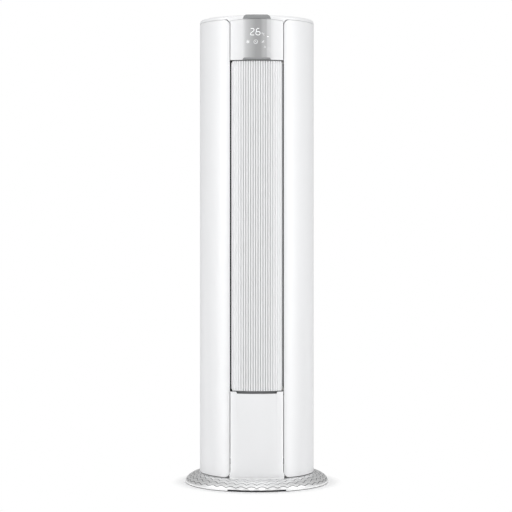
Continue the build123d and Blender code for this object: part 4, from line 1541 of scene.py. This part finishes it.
@dataclass
class Foot(Assembly):
    """Domed foot with rows of wavy grooves, a rim, a collar and the notch at the front.

    Fields:
        waves: Waves round the foot.
        wave: Places in one wave, from trough to trough, and share of the swing there.
        rows: Places of the grooves along the dome, from the collar to the rim, and their swing.
        groove: Half the width of a groove, as a share of the dome's length.
        groove_shade: Share of that width over which the groove gets its painted shade.
        depth: Depth of a groove.
        crown: Height at which the dome meets the collar.
        bulge: Power that gives the dome its roundness.
        ledge: Width of the rim's upper edge.
        rim: Height of the rim.
        gap: Height of the dark base ring under the rim, whose dark plastic is partly painted shade for the
            contact shadow.
        set_back: How far that ring stands back from the rim.
        rim_width: Width of the rim from below.
        wall: Thickness of the collar.
        notch: Width of the notch.
        open_front: Bearing up to which the collar has no painted shade and takes the rim's pale finish,
            because no side panel shades it.
        samples: Steps in which the dome's length is measured.
        crease: Angle over which an edge stays sharp.
    """

    waves: int = 43
    wave: Line = ((0.0, 1.0), (0.19, 0.5), (0.38, 0.0), (0.62, 0.0), (0.81, 0.5), (1.0, 1.0))
    rows: Line = ((0.2, 0.13), (0.43, 0.13), (0.66, 0.13), (0.88, 0.08))
    groove: float = 0.023
    groove_shade: float = 0.9
    depth: float = 1.0 * MM
    crown: float = 40.0 * MM
    bulge: float = 0.6
    ledge: float = 1.2 * MM
    rim: float = 9.0 * MM
    gap: float = 2.0 * MM
    set_back: float = 4.0 * MM
    rim_width: float = 12.0 * MM
    wall: float = 3.0 * MM
    notch: float = 215.0 * MM
    open_front: float = 28.5
    samples: int = 400
    crease: float = 32.0

    def build(self) -> None:
        """Models one wave of the foot, copies it all round and cuts the notch."""
        low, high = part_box("base_flange")
        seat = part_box("lower_deck")[1].x
        lip = high.x - self.rim_width
        base = high.x - self.set_back
        ledge = high.x - self.ledge
        inner = seat - self.wall
        arc = self.dome(seat, ledge)
        slope = (self.crown - self.rim) / (high.x - seat)
        under = self.wall * sqrt(1 + slope**2)
        marks = self.marks()
        fixed = [(lip, 0.0), (base, 0.0), (base, self.gap), (ledge, self.gap)]
        fixed += [(high.x, self.gap + self.ledge), (high.x, self.rim - self.ledge)]
        closing = [(seat, self.crown), (seat, high.z)]
        closing += [(inner, high.z), (inner, self.crown + self.wall * slope - under)]
        closing += [(lip, self.rim + self.rim_width * slope - under), (lip, 0.0)]
        columns = [[self.on_dome(arc, mark, share) for mark in marks] for place, share in self.wave]
        pitch = 360.0 / self.waves
        bearings = [pitch * place for place, share in self.wave]
        profile = fixed + columns[0] + closing
        foot = Bench.chain("domed_foot", [on_cylinder(radius, 0.0, height) for radius, height in profile])
        with Bench.editing(foot):
            for first, second in pairwise(bearings):
                Bench.turn(second - first)
            for bearing, column in zip(bearings, columns):
                for start, end in zip(columns[0], column):
                    if start != end:
                        old = on_cylinder(start[0], bearing, start[1])
                        new = on_cylinder(end[0], bearing, end[1])
                        Bench.pick(foot, lambda co: (co - old).length < MERGE)
                        bpy.ops.transform.translate(value=new - old)
        self.wardrobe.dress(foot, *(shade.value for shade in FootShade))
        with Bench.editing(foot):
            # painted shade: the grooves' faces take a darker silver
            self.paint(foot, FootShade.GROOVE, lambda co: self.in_groove(arc, co, pitch))
            # painted reflection: the rim takes a pale, nearly matt finish for the floor's reflection
            self.paint(
                foot, FootShade.RIM, lambda co: co.z < self.rim and hypot(co.x, co.y) > ledge - self.ledge
            )
            # the dark base ring under the rim, partly painted shade for the contact shadow
            self.paint(
                foot, FootShade.BASE, lambda co: co.z < self.gap + MERGE and lip + MERGE < hypot(co.x, co.y)
            )
            bpy.ops.mesh.select_all(action="SELECT")
            Bench.turn(pitch * (self.waves - 1), self.waves - 1, copies=True)
            # the collar in front, where no side panel shades it, takes the pale painted reflection instead of
            # the collar's painted shade
            self.paint(
                foot, FootShade.RIM, lambda co: co.z > self.crown and abs(bearing_of(co)) < self.open_front
            )
        Bench.close_up(foot)
        half = self.notch / 2
        back = -sqrt(lip**2 - half**2) + MM
        top = self.rim - self.ledge
        Bench.carve(foot, Bench.box("notch_cutter", (-half, -2 * high.x, -MM), (half, back, top)))
        Bench.soften(foot, 0.0, sharpest=self.crease)
        self.settle(foot, "cabinet", "silver_foot", "silver_foot", ["base_flange"])

    @staticmethod
    def paint(foot: bpy.types.Object, shade: FootShade, keep: Test) -> None:
        """Gives a shade, in edit mode, to the faces whose centre passes a test.

        Args:
            foot: The foot.
            shade: The shade.
            keep: Tells which centres pass.
        """
        Bench.pick_faces(foot, keep)
        foot.active_material_index = list(FootShade).index(shade)
        bpy.ops.object.material_slot_assign()

    def dome(self, seat: float, reach: float) -> list[Triple]:
        """Measures the dome's line.

        Args:
            seat: Radius at the collar.
            reach: Radius at the rim.

        Returns:
            Share of the line's length, radius and height at each sample.
        """
        line = []
        length = 0.0
        for step in range(self.samples + 1):
            out = sin(step / self.samples * pi / 2)
            rise = max(1 - out**2, 0.0) ** self.bulge
            point = (seat + (reach - seat) * out, self.rim + (self.crown - self.rim) * rise)
            if line:
                length += hypot(point[0] - line[-1][1], point[1] - line[-1][2])
            line.append((length, *point))
        return [(passed / length, radius, height) for passed, radius, height in line]

    def in_groove(self, arc: Sequence[Triple], co: Vector, pitch: float) -> bool:
        """Tells whether a face of the first wave lies in a groove.

        Args:
            arc: The dome's line.
            co: Centre of the face.
            pitch: Width of a wave in degrees.

        Returns:
            Whether the face gets the groove's painted shade.
        """
        if co.z < self.rim - self.depth or co.z > self.crown:
            return False
        place = bearing_of(co) / pitch
        share = 0.0
        for (start, first), (end, second) in pairwise(self.wave):
            if start <= place <= end:
                share = first + (second - first) * (place - start) / (end - start)
        reach = self.groove_shade * self.groove * (self.crown + arc[-1][1] - arc[0][1])
        for row, swing in self.rows:
            radius, height = self.on_dome(arc, (row, swing, 0.0), share)
            if hypot(hypot(co.x, co.y) - radius, co.z - height) < reach:
                return True
        return False

    def marks(self) -> list[Triple]:
        """Corners of the profile between rim and collar.

        Returns:
            Place, swing and depth of each, from the rim inwards.
        """
        marks = [(1.0, 0.0, 0.0)]
        for place, swing in reversed(self.rows):
            gap = (marks[-1][0] + place + self.groove) / 2
            marks.append((gap, (marks[-1][1] + swing) / 2, 0.0))
            marks += [
                (place + self.groove, swing, 0.0),
                (place, swing, self.depth),
                (place - self.groove, swing, 0.0),
            ]
        marks.append((marks[-1][0] / 2, marks[-1][1] / 2, 0.0))
        return marks

    @staticmethod
    def on_dome(arc: Sequence[Triple], mark: Triple, share: float) -> Point:
        """Where a corner of the profile lies when the wave swings by a share.

        Args:
            arc: The dome's line.
            mark: Place, swing and depth of the corner.
            share: Share of the swing.

        Returns:
            Its radius and height.
        """
        place, swing, depth = mark
        wanted = min(place + swing * (share - 0.5), 1.0)
        rounding = 1e-9  # lets a share that is all but reached count
        index = next(number for number, sample in enumerate(arc) if sample[0] >= wanted - rounding)
        before, after = arc[max(index - 1, 0)], arc[min(index + 1, len(arc) - 1)]
        run, fall = after[1] - before[1], after[2] - before[2]
        length = hypot(run, fall)
        return arc[index][1] + depth * fall / length, arc[index][2] - depth * run / length


@dataclass
class TopCover(Assembly):
    """Round cover with a rounded shoulder and the apron that fills in over the display panel.

    Fields:
        column: Measures of the centre column.
        wall: Thickness of the cover.
        shoulder: Radius of the shoulder.
        seam: Gap to the side panels and the display panel.
        edge: Rounding of the cover's edges.
        facet: Widest column in degrees.
        middle_step: Widest column of the apron over the display panel.
        corner_step: Widest column of the apron beside a side panel's corner.
        flat_border: Width of the ring of faces inside the shoulder.
        hub: Radius of the hole that is drawn in the middle and then closed.
    """

    column: Column
    wall: float = 4.0 * MM
    shoulder: float = 9.0 * MM
    seam: float = 1.0 * MM
    edge: float = 0.6 * MM
    facet: float = 2.0
    middle_step: float = 7.0 * MM
    corner_step: float = 1.5 * MM
    flat_border: float = 20.0 * MM
    hub: float = 1.0 * MM

    def build(self) -> None:
        """Models the cover."""
        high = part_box("top_cover")[1]
        column = self.column
        bottom = column.side_high + self.seam
        inner, outer = self.apron_places(bottom)
        front = mirrored([column.bearing(place) for place in inner + outer[1:]])
        around = front + steps(front[-1], 360 + front[0], self.facet)[1:]
        centre = high.x - self.shoulder
        curve = [(cos(turn), 1 - sin(turn)) for turn in ROUND_CORNER]
        line = [(high.x, bottom)]
        line += [(centre + self.shoulder * out, high.z - self.shoulder * drop) for out, drop in curve]
        line += [(centre - self.flat_border, high.z), (self.hub, high.z)]
        cover = Bench.arc_sheet("round_cover", line, around)
        with Bench.editing(cover):
            Bench.pick(cover, lambda co: hypot(co.x, co.y) < 2 * self.hub)
            bpy.ops.mesh.merge(type="CENTER")
        middle = self.strip("apron_middle", mirrored(inner), self.arch_line, bottom)
        right = self.strip("apron_right", outer, self.corner_line, bottom)
        left = self.strip("apron_left", [-place for place in reversed(outer)], self.corner_line, bottom)
        cover = Bench.join([cover, middle, right, left])
        Bench.wall(cover, self.wall, 0.0)
        Bench.soften(cover, self.edge)
        self.settle(cover, "cabinet", "cabinet_white", "cabinet_white", ["top_cover"])

    def apron_places(self, bottom: float) -> tuple[list[float], list[float]]:
        """Places of the apron's columns.

        Args:
            bottom: Lower edge of the cover's band.

        Returns:
            Places from the centre line outwards, over the panel and beside it.
        """
        column = self.column
        split = column.half + self.seam
        end = column.corner_end(bottom - (column.side_high - column.corner))
        return steps(0.0, split, self.middle_step), steps(split, end, self.corner_step)

    def arch_line(self, across: float) -> float:
        """Height of the edge over the display panel's arch."""
        return self.column.side_high + self.seam - self.column.arch_drop(across)

    def corner_line(self, across: float) -> float:
        """Height of the edge beside a side panel's corner."""
        return self.column.side_high - self.column.corner + self.column.corner_rise(abs(across))

    def strip(
        self, name: str, places: Sequence[float], edge: Callable[[float], float], top: float
    ) -> bpy.types.Object:
        """Part of the apron between an edge and the cover's band.

        Args:
            name: Name of the piece.
            places: Distances of its columns from the centre line.
            edge: Gives the height of its lower edge.
            top: Its upper edge.

        Returns:
            The sheet.
        """
        bearings = [self.column.bearing(place) for place in places]
        start = top - 2 * self.column.corner
        sheet = Bench.arc_sheet(name, [(self.column.radius, start), (self.column.radius, top)], bearings)
        with Bench.editing(sheet):
            for place, bearing in zip(places, bearings):
                rise = edge(place) - start
                Bench.slide(sheet, lambda co: at_bearing(co, bearing) and abs(co.z - start) < MERGE, rise)
        return sheet


@dataclass
class RearScrews(Assembly):
    """Screws that hold the rear casing, two columns of them with crossed slots.

    Fields:
        bearing: Bearing of the right column.
        lowest: Height of the lowest screws.
        pitch: Distance between them upwards.
        rows: Screws in a column.
        head: Radius of a head.
        height: Height of a head.
        sides: Sides of a head.
        slot: Length, width and depth of the slots.
    """

    bearing: float = 129.0
    lowest: float = 120.0 * MM
    pitch: float = 520.0 * MM
    rows: int = 4
    head: float = 3.6 * MM
    height: float = 1.5 * MM
    sides: int = 24
    slot: Triple = (4.4 * MM, 1.0 * MM, 0.9 * MM)

    def build(self) -> None:
        """Models one screw and copies it to both columns."""
        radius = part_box("rear_casing")[1].y
        bpy.ops.object.select_all(action="DESELECT")
        size = {"vertices": self.sides, "radius": self.head, "depth": self.height}
        place = (0, -radius - self.height / 2, self.lowest)
        bpy.ops.mesh.primitive_cylinder_add(**size, location=place, rotation=(radians(90), 0, 0))
        screws = bpy.context.object
        screws.name = screws.data.name = "rear_screws"
        bpy.ops.object.transform_apply(location=True, rotation=True, scale=True)
        length, width, depth = (size / 2 for size in self.slot)
        face = -radius - self.height
        for across, up in ((length, width), (width, length)):
            low = (-across, face - MM, self.lowest - up)
            high = (across, face + 2 * depth, self.lowest + up)
            Bench.carve(screws, Bench.box("slot_cutter", low, high))
        Bench.soften(screws, 0.0)
        offset = {"use_relative_offset": False, "use_constant_offset": True}
        Bench.modify(screws, "ARRAY", count=self.rows, **offset, constant_offset_displace=(0, 0, self.pitch))
        with Bench.editing(screws):
            Bench.turn(self.bearing, copies=True)
            in_front = 90.0  # the column as it was modelled stands there, and its copy behind
            Bench.pick(screws, lambda co: abs(bearing_of(co)) < in_front)
            bpy.ops.mesh.delete(type="VERT")
            bpy.ops.mesh.select_all(action="SELECT")
            Bench.turn(360 - 2 * self.bearing, copies=True)
        Bench.close_up(screws)
        self.settle(screws, "cabinet", "bright_steel", "bright_steel")


@dataclass
class InnerWorks(Assembly):
    """The pieces that keep their solids: structure, air side, pipes and rear.

    Fields:
        weld: Distance under which a node's loose vertices shade as one.
        crease: Angle over which its edges shade sharp.
    """

    weld: float = 0.02 * MM
    crease: float = 32.0

    def build(self, frame: Mapping) -> None:
        """Dresses every node by its slot and shades its curved faces smoothly.

        Args:
            frame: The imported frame.
        """
        for part in frame["record"]["subparts"]:
            node = frame["nodes"][part["node"]]
            self.wardrobe.dress(node, part["material_slot"])
            for polygon in node.data.polygons:
                polygon.use_smooth = True
            weld = node.modifiers.new("weld", "WELD")
            weld.merge_threshold = self.weld
            split = node.modifiers.new("crease", "EDGE_SPLIT")
            split.split_angle = radians(self.crease)


# ---------------------------------------------------------------- studio


@dataclass(frozen=True)
class Lamp:
    """Soft rectangular lamp.

    Fields:
        name: Name of the lamp.
        place: Where it stands.
        target: What it points at.
        size: Its width and height.
        power: Its power.
        glossy: Whether it shows in the cabinet's gloss.
    """

    name: str
    place: Vector
    target: Vector
    size: Point
    power: float
    glossy: bool = True

    def build(self) -> None:
        """Adds the lamp."""
        bpy.ops.object.light_add(type="AREA", location=self.place)
        lamp = bpy.context.object
        lamp.name = self.name
        lamp.rotation_euler = (self.target - self.place).to_track_quat("-Z", "Y").to_euler()
        lamp.visible_glossy = self.glossy
        lamp.data.shape = "RECTANGLE"
        lamp.data.size, lamp.data.size_y = self.size
        lamp.data.energy = self.power


@dataclass
class Studio:
    """Camera, lamps, floor and background.

    Fields:
        eye: Place of the camera.
        lens: Focal length in millimetres.
        shift: Shift of the frame across and up.
        strip_bearing: Bearing of the two tall lamps in front of the cabinet's sides.
        strip_reach: Distance of their middle from the axis.
        strip_size: Their width and height.
        strip_middle: Height of their middle.
        strip_power: Power of each.
        ambient: Strength of the white background as a light.
        floor_size: Width of the floor.
        floor_shades: Darkest and lightest colour of the floor.
        floor_grain: Patches of the floor's colour in a metre.
        shadow_edge: Distances from the axis between which the floor turns from lit to plain white.
    """

    eye: Triple = (0.0, -6.612, 0.994)
    lens: float = 122.3
    shift: Point = (-0.0016, -0.0703)
    strip_bearing: float = 65.0
    strip_reach: float = 2.4
    strip_size: Point = (1.1, 6.0)
    strip_middle: float = 0.3
    strip_power: float = 38.5
    ambient: float = 0.42
    floor_size: float = 60.0
    floor_shades: tuple[Colour, Colour] = ((0.9, 0.9, 0.905), (0.93, 0.93, 0.93))
    floor_grain: float = 3.0
    shadow_edge: Point = (0.272, 0.33)

    def build(self) -> None:
        """Sets everything up."""
        self.camera()
        for lamp in self.lamps():
            lamp.build()
        self.floor()
        self.world()

    def camera(self) -> None:
        """Level camera that looks along +Y."""
        bpy.ops.object.camera_add(location=self.eye, rotation=(radians(90), 0, 0))
        camera = bpy.context.object
        camera.name = "camera"
        camera.data.lens = self.lens
        camera.data.shift_x, camera.data.shift_y = self.shift
        bpy.context.scene.camera = camera

    def lamps(self) -> list[Lamp]:
        """The two tall lamps and one each over, before and behind the cabinet.

        Returns:
            The lamps.
        """
        target = Vector((0, 0, self.strip_middle))
        lamps = []
        for side in Side:
            place = on_cylinder(self.strip_reach, side.value * self.strip_bearing, self.strip_middle)
            lamps.append(Lamp(f"strip_{side.name.lower()}", place, target, self.strip_size, self.strip_power))
        lamps.append(Lamp("top", Vector((0, 0, 3.6)), Vector((0, 0, 0)), (2.4, 2.4), 8.0))
        lamps.append(Lamp("front", Vector((0, -4.0, 4.4)), Vector((0, 0, 0.7)), (2.5, 1.5), 88.0))
        lamps.append(Lamp("back", Vector((0, 4.0, 1.5)), Vector((0, 0, 0.9)), (2.4, 3.0), 50.0, glossy=False))
        return lamps

    def floor(self) -> None:
        """Pale floor that keeps the cabinet's shadow and turns white away from it.

        Shadow and glossy rays pass it, so that the tall lamps, whose lower part is under the floor, light the
        cabinet and show in its gloss down to the foot.
        """
        bpy.ops.mesh.primitive_plane_add(size=self.floor_size)
        floor = bpy.context.object
        floor.name = "floor"
        shader = Shader("floor")
        far = shader.span(shader.vector("LENGTH", "Value", shader.place()), *self.shadow_edge)
        dark, light = (solid(shade) for shade in self.floor_shades)
        colour = shader.mix(shader.noise(self.floor_grain), dark, light)
        matt = shader.add("ShaderNodeBsdfDiffuse", {}, {"Color": colour})
        white = shader.add("ShaderNodeEmission", {}, {"Color": solid((1, 1, 1)), "Strength": 1.0})
        clear = shader.add("ShaderNodeBsdfTransparent", {}, {})
        camera, glossy, shadow = (
            shader.add("ShaderNodeLightPath", {}, {}, f"Is {kind} Ray")
            for kind in ("Camera", "Glossy", "Shadow")
        )
        surface = shader.add("ShaderNodeMixShader", {}, {0: camera * far, 1: matt, 2: white})
        unseen = shadow.maths("MAXIMUM", glossy)
        surface = shader.add("ShaderNodeMixShader", {}, {0: unseen, 1: surface, 2: clear})
        shader.add("ShaderNodeOutputMaterial", {}, {"Surface": surface})
        floor.data.materials.append(shader.material)
        floor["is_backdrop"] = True

    def world(self) -> None:
        """Background that is white to look at and softer as a light."""
        world = bpy.data.worlds.new("studio")
        bpy.context.scene.world = world
        world.use_nodes = True
        tree = world.node_tree
        tree.nodes.clear()
        seen = tree.nodes.new("ShaderNodeLightPath").outputs["Is Camera Ray"]
        strength = tree.nodes.new("ShaderNodeMapRange")
        strength.inputs["To Min"].default_value = self.ambient
        strength.inputs["To Max"].default_value = 1.0
        tree.links.new(seen, strength.inputs["Value"])
        background = tree.nodes.new("ShaderNodeBackground")
        background.inputs["Color"].default_value = (1, 1, 1, 1)
        tree.links.new(strength.outputs["Result"], background.inputs["Strength"])
        output = tree.nodes.new("ShaderNodeOutputWorld")
        tree.links.new(background.outputs[0], output.inputs["Surface"])


def corners(bounds: Sequence[Vector]) -> list[list[float]]:
    """Box as plain lists of numbers."""
    return [list(corner) for corner in bounds]


def main() -> None:
    """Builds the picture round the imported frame."""
    logging.basicConfig(level=logging.INFO, format="%(message)s")
    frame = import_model()
    solid_box = corners(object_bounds())
    bpy.context.scene.view_settings.view_transform = "Standard"
    wardrobe = Wardrobe()
    InnerWorks(wardrobe).build(frame)
    sides = SidePanels(wardrobe)
    column = Column.measured(sides.corner)
    sides.build()
    LowerPanel(wardrobe, column).build()
    DisplayPanel(wardrobe, column).build()
    Signs(wardrobe, column).build()
    FlutedDoor(wardrobe).build()
    Foot(wardrobe).build()
    TopCover(wardrobe, column).build()
    RearScrews(wardrobe).build()
    Studio().build()
    {"cad": solid_box, "visual": corners(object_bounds())}


if __name__ == "__main__":
    main()
